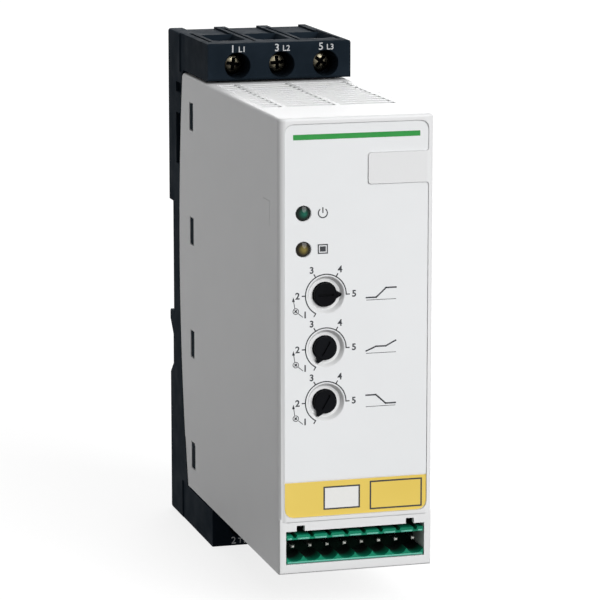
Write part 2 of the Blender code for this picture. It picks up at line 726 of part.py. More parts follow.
def cut_cover_seat():
    """Sets the tongue in from the sides, along the curve of the cover's rear edge."""
    low = COVER_BOTTOM - COVER_TO_BLOCK
    high = COVER_TOP + COVER_TO_BLOCK
    curve = edge_curve(low, high, GAP)
    reach = UPPER_BLOCK_DEPTH
    outline = side_outline(curve + [(reach, high), (reach, low)])
    for name, span in (("left", (-WIDTH, -TONGUE_HALF)), ("right", (TONGUE_HALF, WIDTH))):
        bm = bmesh.new()
        add_outline(bm, [outline], SIDE_PLANE, *span)
        boolean(BASE, cutter("cover_seat_" + name, bm))


def cut_tray():
    """Hollows the tray, with deeper pockets in the thick parts of its floor."""
    bm = bmesh.new()
    add_box(bm, (-TRAY_HALF, TRAY_HALF), (TRAY_FLOOR, TONGUE_DEPTH + OVERRUN), (TRAY_LOW, TRAY_HIGH))
    boolean(BASE, cutter("tray_hollow", bm))
    bm = bmesh.new()
    pocket = (POCKET_SKIN, TRAY_FLOOR + OVERRUN)
    add_box(bm, (-TRAY_HALF, TRAY_HALF), pocket, (GROOVE_TOP + POCKET_SKIN, TRAY_HIGH))
    channel_edge = LATCH_WIDTH / 2 + GAP + BASE_WALL
    for span in ((-TRAY_HALF, -channel_edge), (channel_edge, TRAY_HALF)):
        add_box(bm, span, pocket, (TRAY_LOW, FOOT_TOP - POCKET_SKIN))
    boolean(BASE, cutter("tray_pockets", bm))


def cut_latch_channel():
    """A slot of T section in the rear face for the sliding latch."""
    bm = bmesh.new()
    half_stem = LATCH_STEM_WIDTH / 2 + GAP
    half_flange = LATCH_WIDTH / 2 + GAP
    lip = GROOVE_DEPTH - LATCH_FLANGE - 2 * GAP
    run = (-OVERRUN, GROOVE_BOTTOM + OVERRUN)
    outline = [
        (-half_stem, at_depth(-OVERRUN)), (half_stem, at_depth(-OVERRUN)), (half_stem, at_depth(lip)),
        (half_flange, at_depth(lip)), (half_flange, at_depth(GROOVE_DEPTH)),
        (-half_flange, at_depth(GROOVE_DEPTH)), (-half_flange, at_depth(lip)), (-half_stem, at_depth(lip)),
    ]
    add_outline(bm, [outline], LEVEL_PLANE, at_height(run[0]), at_height(run[1]))
    boolean(BASE, cutter("latch_channel", bm))


def add_base_details():
    """Joins on the spring peg, the rail hooks, the board bosses and the fingers that hold the cover."""
    bm = bmesh.new()
    peg = (SPRING_PEG_HEIGHT, SPRING_PEG_HEIGHT + SPRING_PEG_SIZE)
    add_box(bm, (-SPRING_RADIUS, SPRING_RADIUS), (GAP, GROOVE_DEPTH + OVERRUN), peg)
    hook_low = GROOVE_TOP - RAIL_LIP
    hook_depth = GROOVE_DEPTH - RAIL_FLANGE - GAP
    for middle in (-HOOK_X, HOOK_X):
        hook = (middle - HOOK_WIDTH / 2, middle + HOOK_WIDTH / 2)
        add_box(bm, hook, (0.0, hook_depth), (hook_low, GROOVE_TOP + HOOK_THICKNESS))
    for x in (-BOSS_X, BOSS_X):
        for height in BOSS_HEIGHTS:
            add_rod(bm, x, height, (POCKET_SKIN - OVERRUN, POWER_BOARD_DEPTH - PIN_GAP), BOSS_RADIUS, 16)
    boolean(BASE, cutter("base_details", bm), "UNION")
    bm = bmesh.new()
    finger_end = SNAP_WINDOW_DEPTH + SNAP_WINDOW_WIDTH
    for side in (-1, 1):
        nose = TONGUE_HALF + GAP + SNAP_NOSE
        shape = [
            (TRAY_HALF, TONGUE_DEPTH - FINGER_ROOT), (TONGUE_HALF, TONGUE_DEPTH - FINGER_ROOT),
            (TONGUE_HALF, SNAP_WINDOW_DEPTH + GAP), (nose, SNAP_WINDOW_DEPTH + GAP),
            (nose, finger_end - GAP - FINGER_LEAD), (TONGUE_HALF, finger_end - GAP),
            (TRAY_HALF, finger_end - GAP),
        ]
        outline = [(side * x, at_depth(depth)) for x, depth in shape]
        half = SNAP_WINDOW_HEIGHT / 2 - GAP
        for height in SNAP_HEIGHTS:
            add_outline(bm, [outline], LEVEL_PLANE, at_height(height - half), at_height(height + half))
    boolean(BASE, cutter("cover_fingers", bm), "UNION")


def cut_side_details():
    """Steps the block sides in behind the rear plate and lets shallow windows into the plate's edges."""
    bm = bmesh.new()
    step = WIDTH / 2 - BLOCK_SIDE_STEP
    for side in (-1, 1):
        for block in BLOCKS:
            end = block.depth + OVERRUN if side < 0 else block.depth - COLLAR_LENGTH
            cover_side = COVER_TOP if block.side > 0 else COVER_BOTTOM
            span = sorted((at_height(cover_side), at_height(block.height(-OVERRUN))))
            ramp = BLOCK_STEP_DEPTH - BLOCK_STEP_RAMP
            outline = [
                (side * (WIDTH / 2 + OVERRUN), at_depth(ramp)), (side * step, at_depth(BLOCK_STEP_DEPTH)),
                (side * step, at_depth(end)), (side * WIDTH, at_depth(end)), (side * WIDTH, at_depth(ramp)),
            ]
            add_outline(bm, [outline], LEVEL_PLANE, *span)
    boolean(BASE, cutter("block_sides", bm))
    bm = bmesh.new()
    for side in (-1, 1):
        inner, outer = sorted((side * (WIDTH / 2 - SIDE_WINDOW_DEPTH), side * WIDTH))
        for high_inset, low_inset in SIDE_WINDOW_INSETS:
            window = (HEIGHT - low_inset, HEIGHT - high_inset)
            add_box(bm, (inner, outer), (SIDE_WINDOW_START, TONGUE_DEPTH), window)
    boolean(BASE, cutter("side_windows", bm))


def cut_terminals(block):
    """Screw wells, clamp chambers, wire funnels, strip passages and barrier slots of one block."""
    wells = bmesh.new()
    webs = bmesh.new()
    chambers = bmesh.new()
    funnels = bmesh.new()
    recesses = bmesh.new()
    passages = bmesh.new()
    screw_height = block.height(SCREW_INSET)
    half_chamber = CAGE_WIDTH / 2 + GAP
    half_funnel = FUNNEL_WIDTH / 2
    tray_edge = TRAY_HIGH if block.side > 0 else TRAY_LOW
    for pole in POLES:
        add_rod(wells, pole, screw_height, (block.web_front, block.depth + OVERRUN), WELL_RADIUS, 28)
        web = (block.web_back - OVERRUN, block.web_front + OVERRUN)
        add_rod(webs, pole, screw_height, web, SCREW_SHANK_RADIUS + PIN_GAP, 16)
        chamber = (pole - half_chamber, pole + half_chamber)
        inside = block.span(FUNNEL_DEPTH - FUNNEL_OVERLAP, block.chamber_inset)
        add_box(chambers, chamber, (block.chamber_back, block.web_back), inside)
        front = block.web_back - FUNNEL_FRONT
        rear = at_depth(block.chamber_back - FUNNEL_REAR)
        outline = [(pole - half_funnel, rear)]
        for step in range(9):
            across = -1 + step / 4
            depth = front + FUNNEL_BULGE * (1 - across ** 2)
            outline.append((pole + across * half_funnel, at_depth(depth)))
        outline.append((pole + half_funnel, rear))
        span = sorted((at_height(block.height(-OVERRUN)), at_height(block.height(FUNNEL_DEPTH))))
        shape = bmesh.new()
        add_outline(shape, [outline], LEVEL_PLANE, *span)
        floor = at_height(block.height(FUNNEL_DEPTH))
        middle = at_depth((block.chamber_back + block.web_back) / 2)
        for vert in shape.verts:
            if near(vert.co.z, floor):
                vert.co.x = pole + (vert.co.x - pole) * (half_chamber + FUNNEL_SIDE) / half_funnel
                vert.co.y = middle + (vert.co.y - middle) * FUNNEL_TAPER
        shaped = bpy.data.meshes.new("funnel")
        shape.to_mesh(shaped)
        shape.free()
        funnels.from_mesh(shaped)
        recess = (pole - REAR_RECESS_WIDTH / 2, pole + REAR_RECESS_WIDTH / 2)
        hollow = (-OVERRUN, block.chamber_back - REAR_RECESS_END)
        add_box(recesses, recess, hollow, block.span(-OVERRUN, REAR_RECESS_DEPTH))
        half_strip = BUSBAR_WIDTH / 2 + GAP
        leg_outer = block.height(block.leg_inset - BUSBAR_THICKNESS / 2 - GAP)
        leg_inner = block.height(block.leg_inset + BUSBAR_THICKNESS / 2 + PIN_GAP)
        rear = block.tail_depth - BUSBAR_THICKNESS / 2 - GAP
        turn = block.tail_depth + BUSBAR_THICKNESS / 2 + BUSBAR_BEND + GAP
        inward = tray_edge - block.side * OVERRUN
        chamber_end = block.chamber_back + OVERRUN
        bend = [
            (chamber_end, leg_outer), (rear, leg_outer), (rear, inward), (turn, inward), (turn, leg_inner),
            (chamber_end, leg_inner),
        ]
        add_outline(passages, [side_outline(bend)], SIDE_PLANE, pole - half_strip, pole + half_strip)
    boolean(BASE, cutter("wells_" + block.tag, wells))
    boolean(BASE, cutter("webs_" + block.tag, webs))
    boolean(BASE, cutter("chambers_" + block.tag, chambers))
    boolean(BASE, cutter("funnels_" + block.tag, funnels))
    boolean(BASE, cutter("recesses_" + block.tag, recesses))
    boolean(BASE, cutter("strip_passages_" + block.tag, passages))
    slots = bmesh.new()
    places = [POLES[0] - POLE_PITCH / 2 + (index * POLE_PITCH) for index in range(POLE_COUNT + 1)]
    for index, x in enumerate(places):
        edge = index in (0, POLE_COUNT)
        start = BARRIER_SLOT_SHORT if edge else BARRIER_SLOT_LONG
        inward = WIDTH / 2 - BASE_WALL - BARRIER_SLOT_WIDTH / 2
        middle = max(-inward, min(inward, x))
        span = (middle - BARRIER_SLOT_WIDTH / 2, middle + BARRIER_SLOT_WIDTH / 2)
        run = (start, block.depth - BARRIER_SLOT_END)
        add_box(slots, span, run, block.span(-OVERRUN, BARRIER_SLOT_DEPTH))
    boolean(BASE, cutter("barrier_slots_" + block.tag, slots))


cut_side_details()
cut_cover_seat()
cut_tray()
cut_latch_channel()
add_base_details()
for terminal_block in BLOCKS:
    cut_terminals(terminal_block)


# Terminal screws, clamp cages and copper strips
def make_screw(block, index, pole):
    height = block.height(SCREW_INSET)
    origin = (pole, at_depth(block.head_front), at_height(height))
    tip = block.tongue + BUSBAR_THICKNESS / 2 + GAP - block.head_front
    under = -SCREW_HEAD_THICKNESS
    profile = [
        (0.0, 0.0), (0.0, SCREW_HEAD_RADIUS - SCREW_HEAD_EDGE), (-SCREW_HEAD_EDGE, SCREW_HEAD_RADIUS),
        (under, SCREW_HEAD_RADIUS), (under, SCREW_SHANK_RADIUS), (tip + SCREW_TIP, SCREW_SHANK_RADIUS),
        (tip, SCREW_SHANK_RADIUS - SCREW_TIP), (tip, 0.0),
    ]
    screw = turned(f"terminal_screw_{block.tag}{index}", profile, PLATED_STEEL, origin, 18)
    bm = bmesh.new()
    floor = (block.head_front - CROSS_DEPTH, block.head_front + OVERRUN)
    long_half = CROSS_LENGTH / 2
    short_half = CROSS_WIDTH / 2
    cross = [
        (-long_half, -short_half), (-short_half, -short_half), (-short_half, -long_half),
        (short_half, -long_half), (short_half, -short_half), (long_half, -short_half),
        (long_half, short_half), (short_half, short_half), (short_half, long_half),
        (-short_half, long_half), (-short_half, short_half), (-long_half, short_half),
    ]
    outline = turned_outline(cross, pole, height, CROSS_TURN * index)
    add_outline(bm, [outline], FRONT_PLANE, *deep(*floor))
    boolean(screw, cutter(f"cross_recess_{block.tag}{index}", bm, origin))


def make_cage(block, index, pole):
    """A folded steel box open at its outer and inner ends, with the screw through its front."""
    low, high = block.span(CAGE_INSET, CAGE_INSET + CAGE_HEIGHT)
    origin = (pole, at_depth(block.cage_front), at_height(block.height(SCREW_INSET)))
    half = CAGE_WIDTH / 2
    face = at_depth(block.cage_front)
    rear = at_depth(block.cage_back)
    outer = rounded([
        (pole - half, face, CAGE_EDGE), (pole + half, face, CAGE_EDGE),
        (pole + half, rear, CAGE_EDGE), (pole - half, rear, CAGE_EDGE),
    ], 1)
    bore = half - CAGE_WALL
    wall_front = at_depth(block.cage_front - CAGE_WALL)
    wall_back = at_depth(block.cage_back + CAGE_WALL)
    inner = [
        (pole - bore, wall_front), (pole + bore, wall_front),
        (pole + bore, wall_back), (pole - bore, wall_back),
    ]
    bm = bmesh.new()
    add_outline(bm, [outer, inner], LEVEL_PLANE, at_height(low), at_height(high))
    cage = piece(f"clamp_cage_{block.tag}{index}", bm, CAGE_STEEL, origin)
    bm = bmesh.new()
    wall = (block.cage_front - CAGE_WALL - OVERRUN, block.cage_front + OVERRUN)
    add_rod(bm, pole, block.height(SCREW_INSET), wall, SCREW_SHANK_RADIUS + PIN_GAP, 14)
    boolean(cage, cutter(f"cage_thread_{block.tag}{index}", bm, origin))


def strip_outline(path, thickness, bend):
    """A bent strip seen from its side: its centre line given, both faces offset by half its thickness."""
    sides = []
    for sign in (1, -1):
        corners = []
        for index, (px, py) in enumerate(path):
            ways = []
            if index > 0:
                ways.append((px - path[index - 1][0], py - path[index - 1][1]))
            if index < len(path) - 1:
                ways.append((path[index + 1][0] - px, path[index + 1][1] - py))
            normals = []
            for wx, wy in ways:
                span = math.hypot(wx, wy)
                normals.append((-wy / span, wx / span))
            nx = sum(normal[0] for normal in normals)
            ny = sum(normal[1] for normal in normals)
            scale = 2 * sign * (thickness / 2) / (nx * nx + ny * ny) * len(normals) / 2
            if len(normals) == 1:
                scale = sign * thickness / 2
            corners.append((px + nx * scale, py + ny * scale, 0.0 if index in (0, len(path) - 1) else None))
        curved = []
        for index, (px, py, radius) in enumerate(corners):
            if radius is None:
                before = (path[index][0] - path[index - 1][0], path[index][1] - path[index - 1][1])
                after = (path[index + 1][0] - path[index][0], path[index + 1][1] - path[index][1])
                left_turn = before[0] * after[1] - before[1] * after[0] > 0
                inner_side = left_turn == (sign > 0)
                radius = bend if inner_side else bend + thickness
            curved.append((px, py, radius))
        sides.append(curved)
    return rounded(sides[0] + sides[1][::-1], 2)


def make_busbar(block, index, pole):
    """A copper strip from the clamp, back along the block's floor and down or up to the power board."""
    leg = block.height(block.leg_inset)
    tip = block.height(CAGE_INSET + BUSBAR_TIP_INSET)
    tail = block.height(BUSBAR_TAIL)
    path = [(block.tongue, tip), (block.tongue, leg), (block.tail_depth, leg), (block.tail_depth, tail)]
    outline = strip_outline(side_outline(path), BUSBAR_THICKNESS, BUSBAR_BEND)
    bm = bmesh.new()
    half = BUSBAR_WIDTH / 2
    add_outline(bm, [outline], SIDE_PLANE, pole - half, pole + half)
    piece(f"busbar_{block.tag}{index}", bm, COPPER_STRIP)


for terminal_block in BLOCKS:
    for number, pole_x in enumerate(POLES, 1):
        make_screw(terminal_block, number, pole_x)
        make_cage(terminal_block, number, pole_x)
        make_busbar(terminal_block, number, pole_x)


# Rail latch: a slider of T section whose hook holds the rail's lower flange
def make_latch():
    flange_top = GROOVE_BOTTOM - GAP
    hook_top = GROOVE_BOTTOM + LATCH_HOOK
    stem_back = GAP
    hook_face = GROOVE_DEPTH - RAIL_FLANGE - GAP
    flange_back = GROOVE_DEPTH - GAP - LATCH_FLANGE
    stem_front = flange_back + STEM_OVERLAP
    origin = (0.0, at_depth(GROOVE_DEPTH), at_height(GROOVE_BOTTOM))
    bm = bmesh.new()
    profile = [
        (stem_back, LATCH_FOOT), (stem_back, hook_top - LATCH_LEAD), (hook_face - LATCH_HOOK_FLAT, hook_top),
        (hook_face, hook_top), (hook_face, flange_top), (stem_front, flange_top), (stem_front, LATCH_FOOT),
    ]
    half_stem = LATCH_STEM_WIDTH / 2
    add_outline(bm, [side_outline(profile)], SIDE_PLANE, -half_stem, half_stem)
    latch = piece("din_latch", bm, BLACK_PLASTIC, origin)
    bm = bmesh.new()
    half_flange = LATCH_WIDTH / 2
    add_box(bm, (-half_flange, half_flange), (flange_back, GROOVE_DEPTH - GAP), (LATCH_FOOT, flange_top))
    boolean(latch, cutter("latch_flange", bm, origin), "UNION")
    bm = bmesh.new()
    through = (-OVERRUN, GROOVE_DEPTH + OVERRUN)
    half_window = SPRING_RADIUS + SPRING_WIRE + GAP
    window_low = SPRING_PEG_HEIGHT - GAP
    window_high = SPRING_PEG_HEIGHT + SPRING_PEG_SIZE + SPRING_LENGTH + 2 * PIN_GAP
    add_box(bm, (-half_window, half_window), through, (window_low, window_high))
    slot_low = LATCH_FOOT + PRY_SLOT_INSET
    half_slot = PRY_SLOT_WIDTH / 2
    add_box(bm, (-half_slot, half_slot), through, (slot_low, slot_low + PRY_SLOT_HEIGHT))
    boolean(latch, cutter("latch_windows", bm, origin))


def make_spring():
    """A compression spring, its turns worked out along a helix with closed ends."""
    curve = bpy.data.curves.new("latch_spring", "CURVE")
    curve.dimensions = "3D"
    curve.bevel_depth = SPRING_WIRE
    curve.bevel_resolution = 1
    curve.use_fill_caps = True
    spline = curve.splines.new("POLY")
    count = SPRING_TURNS * SPRING_STEPS
    spline.points.add(count)
    low = SPRING_PEG_HEIGHT + SPRING_PEG_SIZE + PIN_GAP + SPRING_WIRE
    run = SPRING_LENGTH - 2 * SPRING_WIRE
    middle = at_depth((GROOVE_DEPTH + GAP) / 2)
    for step in range(count + 1):
        share = step / count
        eased = share - SPRING_END_EASE * math.sin(2 * math.pi * share) / (2 * math.pi)
        angle = 2 * math.pi * SPRING_TURNS * share
        across = SPRING_RADIUS * math.cos(angle)
        along = SPRING_RADIUS * math.sin(angle)
        spline.points[step].co = (across, middle + along, at_height(low + run * eased), 1.0)
    made = bpy.data.objects.new("latch_spring", curve)
    made.data.materials.append(SPRING_STEEL)
    PARTS.objects.link(made)


make_latch()
make_spring()


# Front cover: a deep moulded box open at the rear
def cover_shell():
    half = WIDTH / 2
    bm = bmesh.new()
    add_box(bm, (-half, half), (0.0, DEPTH), (FRAME_FOOT, COVER_TOP))
    front = at_depth(DEPTH)
    corners = edges_where(bm, lambda co: near(co.y, front) and near(abs(co.x), half))
    upright = [edge for edge in corners if not near(edge.verts[0].co.z, edge.verts[1].co.z)]
    bevel_edges(bm, upright, CORNER_RADIUS, 4)
    top = at_height(COVER_TOP)
    rear = at_depth(0.0)
    rim = [edge for edge in edges_where(bm, lambda co: near(co.z, top))
           if not all(near(vert.co.y, rear) for vert in edge.verts)]
    bevel_edges(bm, rim, TOP_EDGE_RADIUS, 2)
    foot = at_height(FRAME_FOOT)
    lip = edges_where(bm, lambda co: near(co.z, foot) and co.y < front + CORNER_RADIUS + 1e-5)
    bevel_edges(bm, lip, FRAME_CHAMFER, 1)
    cover = piece("front_cover", bm, COVER_PLASTIC, smooth=35)
    bm = bmesh.new()
    lower_half = half - FRAME_SIDE_STEP
    add_box(bm, (-lower_half, lower_half), (0.0, DEPTH - FRAME_STEP), (COVER_BOTTOM, FRAME_FOOT + OVERRUN))
    stepped = at_depth(DEPTH - FRAME_STEP)
    bottom = at_height(COVER_BOTTOM)
    rim = [edge for edge in edges_where(bm, lambda co: near(co.y, stepped))
           if any(near(vert.co.z, bottom) for vert in edge.verts)]
    bevel_edges(bm, rim, FRAME_EDGE, 1)
    boolean(cover, cutter("header_section", bm), "UNION")
    return cover


COVER = cover_shell()


def shape_cover():
    """Hollows the cover and gives its rear edge the curve that meets the base."""
    bm = bmesh.new()
    hollow = (COVER_BOTTOM + COVER_WALL, COVER_TOP - COVER_WALL)
    add_box(bm, (-INNER_HALF, INNER_HALF), (-OVERRUN, FRONT_INNER), hollow)
    boolean(COVER, cutter("cover_hollow", bm))
    low = COVER_BOTTOM - OVERRUN
    high = COVER_TOP + OVERRUN
    bm = bmesh.new()
    outline = side_outline(edge_curve(low, high, 0.0) + [(-OVERRUN, high), (-OVERRUN, low)])
    add_outline(bm, [outline], SIDE_PLANE, -WIDTH, WIDTH)
    boolean(COVER, cutter("cover_rear_edge", bm))


def cut_snap_windows():
    bm = bmesh.new()
    for side in (-1, 1):
        inner, outer = sorted((side * (INNER_HALF - OVERRUN), side * WIDTH))
        for height in SNAP_HEIGHTS:
            half = SNAP_WINDOW_HEIGHT / 2
            depth = (SNAP_WINDOW_DEPTH, SNAP_WINDOW_DEPTH + SNAP_WINDOW_WIDTH)
            add_box(bm, (inner, outer), depth, (height - half, height + half))
    boolean(COVER, cutter("snap_windows", bm))


def cut_grille(name, wall, block):
    """Rows of cross slots between the depthwise bars of one wall, from the front margin back to the block."""
    bm = bmesh.new()
    front = DEPTH - VENT_FRONT_MARGIN
    back = block.depth + VENT_BACK_MARGIN
    rows = int((front - VENT_SLOT - back) / VENT_PITCH) + 1
    ends = [VENT_LEFT]
    for bar in VENT_BARS:
        ends += [bar - VENT_BAR_WIDTH / 2, bar + VENT_BAR_WIDTH / 2]
    ends.append(VENT_RIGHT)
    for row in range(rows):
        high = front - row * VENT_PITCH
        for low_x, high_x in zip(ends[::2], ends[1::2]):
            add_box(bm, (low_x, high_x), (high - VENT_SLOT, high), wall)
    boolean(COVER, cutter(name, bm))


def cut_corner_mark():
    """A fine corner-shaped groove in the left side, near the front."""
    bm = bmesh.new()
    top = COVER_TOP - MARK_TOP_INSET
    front = DEPTH - MARK_SETBACK
    outline = side_outline([
        (front - MARK_LENGTH, top), (front, top), (front, top - MARK_DROP),
        (front - MARK_WIDTH, top - MARK_DROP), (front - MARK_WIDTH, top - MARK_WIDTH),
        (front - MARK_LENGTH, top - MARK_WIDTH),
    ])
    add_outline(bm, [outline], SIDE_PLANE, -WIDTH / 2 - OVERRUN, -WIDTH / 2 + MARK_DEPTH)
    boolean(COVER, cutter("corner_mark", bm))


def recess_outline(inset, low, high, with_pad=True):
    """The label's outline with its notch round the marker pad, drawn in by an inset."""
    half = LABEL_HALF_WIDTH - inset
    left = [(-half, low + inset, LABEL_RADIUS), (half, low + inset, LABEL_RADIUS)]
    if not with_pad:
        return rounded(left + [(half, high - inset, 0.0), (-half, high - inset, 0.0)], 3)
    notch = PAD_LEFT - inset
    return rounded(left + [
        (half, PAD_LOW - inset, PAD_RADIUS), (notch, PAD_LOW - inset, PAD_RADIUS),
        (notch, PAD_HIGH + inset, PAD_RADIUS), (half, PAD_HIGH + inset, PAD_RADIUS),
        (half, high - inset, LABEL_RADIUS), (-half, high - inset, LABEL_RADIUS),
    ], 3)


def cut_front():
    """Label recess, dial dishes, knob holes, lamp holes and the header opening."""
    front = DEPTH + OVERRUN
    bm = bmesh.new()
    outline = front_outline(recess_outline(0.0, LABEL_BOTTOM, LABEL_TOP))
    add_outline(bm, [outline], FRONT_PLANE, *deep(LABEL_FLOOR, front))
    boolean(COVER, cutter("label_recess", bm))
    bm = bmesh.new()
    for height in DIAL_HEIGHTS:
        reach = (DISH_FLOOR, LABEL_FLOOR + PIN_GAP)
        grow = (DISH_RADIUS - DISH_FLOOR_RADIUS) * PIN_GAP / DISH_DEPTH
        add_rod(bm, DIAL_X, height, reach, DISH_FLOOR_RADIUS, 32, DISH_RADIUS + grow)
    boolean(COVER, cutter("dial_dishes", bm))
    bm = bmesh.new()
    for height in DIAL_HEIGHTS:
        add_rod(bm, DIAL_X, height, (FRONT_INNER - OVERRUN, DEPTH), KNOB_RADIUS + GAP, 28)
    for height in LAMP_HEIGHTS:
        add_rod(bm, LAMP_X, height, (FRONT_INNER - OVERRUN, DEPTH), LAMP_RADIUS + LAMP_CLEARANCE, 24)
    boolean(COVER, cutter("knob_and_lamp_holes", bm))
    bm = bmesh.new()
    wide = OPENING_HALF_WIDTH
    half = OPENING_NOTCH_WIDTH / 2
    top = OPENING_HIGH + OPENING_NOTCH_HEIGHT
    outline = [(-wide, OPENING_LOW), (wide, OPENING_LOW), (wide, OPENING_HIGH)]
    for middle in (OPENING_NOTCH_X, -OPENING_NOTCH_X):
        right = middle + half
        left = middle - half
        outline += [(right, OPENING_HIGH), (right, top), (left, top), (left, OPENING_HIGH)]
    outline.append((-wide, OPENING_HIGH))
    add_outline(bm, [front_outline(outline)], FRONT_PLANE, *deep(FRONT_INNER - OVERRUN, front))
    boolean(COVER, cutter("header_opening", bm))


def add_board_posts():
    bm = bmesh.new()
    for x in (-POST_X, POST_X):
        add_rod(bm, x, POST_HEIGHT, (CONTROL_BOARD_FRONT + PIN_GAP, FRONT_INNER + OVERRUN), POST_RADIUS, 14)
    boolean(COVER, cutter("board_posts", bm), "UNION")


shape_cover()
cut_snap_windows()
cut_grille("top_grille", (COVER_TOP - COVER_WALL - OVERRUN, COVER_TOP + OVERRUN), BLOCKS[0])
cut_grille("bottom_grille", (COVER_BOTTOM - OVERRUN, COVER_BOTTOM + COVER_WALL + OVERRUN), BLOCKS[1])
cut_corner_mark()
cut_front()
add_board_posts()


# Label film and yellow strip, laid in the cover's recess
def make_films():
    back = LABEL_FLOOR + FILM_SEAT
    span = deep(back, back + FILM_THICKNESS)
    holes = []
    for height in DIAL_HEIGHTS:
        holes.append(arc_points((DIAL_X, at_height(height)), DISH_RADIUS + FILM_MARGIN, 0, 360, 32)[:-1])
    for height in LAMP_HEIGHTS:
        radius = LAMP_RADIUS + LAMP_CLEARANCE + FILM_MARGIN
        holes.append(arc_points((LAMP_X, at_height(height)), radius, 0, 360, 20)[:-1])
    sheet = recess_outline(FILM_MARGIN, STRIP_TOP, LABEL_TOP)
    corner = LABEL_RADIUS
    sheet = [(x, max(y, STRIP_TOP + FILM_MARGIN)) for x, y in sheet]
    half = LABEL_HALF_WIDTH - FILM_MARGIN
    kept = [point for point in sheet if point[1] > STRIP_TOP + FILM_MARGIN + corner + 1e-6]
    sheet = [(-half, STRIP_TOP + FILM_MARGIN), (half, STRIP_TOP + FILM_MARGIN)] + kept
    bm = bmesh.new()
    add_outline(bm, [front_outline(sheet)] + holes, FRONT_PLANE, *span)
    piece("front_label", bm, LABEL_FILM)
    bm = bmesh.new()
    strip = recess_outline(FILM_MARGIN, LABEL_BOTTOM, STRIP_TOP, with_pad=False)
    add_outline(bm, [front_outline(strip)], FRONT_PLANE, *span)
    piece("yellow_strip", bm, YELLOW_FILM)


make_films()


# Dials: pointer knobs on the shafts of small potentiometers
def make_dial(index, height, angle):
    origin = (DIAL_X, at_depth(DISH_FLOOR), at_height(height))
    front = LABEL_FLOOR + KNOB_PROUD
    back = DISH_FLOOR - KNOB_REAR
    bm = bmesh.new()
    add_rod(bm, DIAL_X, height, (back, front), KNOB_RADIUS, 28)
    face = at_depth(front)
    bevel_edges(bm, edges_where(bm, lambda co: near(co.y, face)), KNOB_EDGE, 1)
    knob = piece(f"dial_knob_{index}", bm, KNOB_PLASTIC, origin, smooth=40)
    wide = KNOB_POINTER_WIDTH / 2
    inner = KNOB_RADIUS * 0.7
    nose = [(inner, -wide), (KNOB_RADIUS, -wide * 0.8), (KNOB_POINTER, -wide * 0.2),
            (KNOB_POINTER, wide * 0.2), (KNOB_RADIUS, wide * 0.8), (inner, wide)]
    outline = turned_outline(nose, DIAL_X, height, angle)
    bm = bmesh.new()
    low = DISH_FLOOR + KNOB_POINTER_LIFT
    add_outline(bm, [outline], FRONT_PLANE, *deep(low, front - KNOB_EDGE))
    boolean(knob, cutter(f"pointer_{index}", bm, origin), "UNION")
    bm = bmesh.new()
    stem = (CONTROL_BOARD_FRONT + POT_HEIGHT + 2 * GAP, back + KNOB_STEM_OVERLAP)
    add_rod(bm, DIAL_X, height, stem, KNOB_STEM_RADIUS, 12)
    boolean(knob, cutter(f"stem_{index}", bm, origin), "UNION")
    long = KNOB_SLOT_LENGTH / 2
    thin = KNOB_SLOT_WIDTH / 2
    slot = [(-long, -thin), (long, -thin), (long, thin), (-long, thin)]
    outline = turned_outline(slot, DIAL_X, height, angle)
    bm = bmesh.new()
    add_outline(bm, [outline], FRONT_PLANE, *deep(front - KNOB_SLOT_DEPTH, front + OVERRUN))
    boolean(knob, cutter(f"driver_slot_{index}", bm, origin))
    bm = bmesh.new()
    half = POT_SIZE / 2
    pot = (CONTROL_BOARD_FRONT + GAP, CONTROL_BOARD_FRONT + GAP + POT_HEIGHT)
    add_box(bm, (DIAL_X - half, DIAL_X + half), pot, (height - half, height + half))
    lid = at_depth(pot[1])
    bevel_edges(bm, edges_where(bm, lambda co: near(co.y, lid)), POT_EDGE, 1)
    piece(f"dial_pot_{index}", bm, RELAY_CASE)


for number, (dial_height, dial_angle) in enumerate(zip(DIAL_HEIGHTS, DIAL_ANGLES), 1):
    make_dial(number, dial_height, dial_angle)


# Indicator lamps: a domed light pipe in the cover over a lamp chip on the board
def make_lamp(name, height, finish):
    chip_front = CONTROL_BOARD_FRONT + GAP + CHIP_HEIGHT
    flange_front = FRONT_INNER - GAP
    dome_radius = (LAMP_RADIUS ** 2 + LAMP_DOME ** 2) / (2 * LAMP_DOME)
    profile = []
    for step in range(4):
        across = LAMP_RADIUS * step / 3
        profile.append((DEPTH - dome_radius + math.sqrt(dome_radius ** 2 - across ** 2), across))
    profile += [
        (flange_front, LAMP_RADIUS), (flange_front, LAMP_FLANGE_RADIUS),
        (flange_front - LAMP_FLANGE, LAMP_FLANGE_RADIUS), (flange_front - LAMP_FLANGE, LAMP_RADIUS),
        (chip_front + GAP, LAMP_RADIUS), (chip_front + GAP, 0.0),
    ]
    turned("light_pipe_" + name, profile, finish, (LAMP_X, BACK_Y, at_height(height)), 16)
    bm = bmesh.new()
    half = CHIP_SIZE / 2
    chip = (CONTROL_BOARD_FRONT + GAP, chip_front)
    add_box(bm, (LAMP_X - half, LAMP_X + half), chip, (height - half, height + half))
    piece("lamp_chip_" + name, bm, SOCKET_PLASTIC)


make_lamp("upper", LAMP_HEIGHTS[0], GREEN_LENS)
make_lamp("lower", LAMP_HEIGHTS[1], AMBER_LENS)


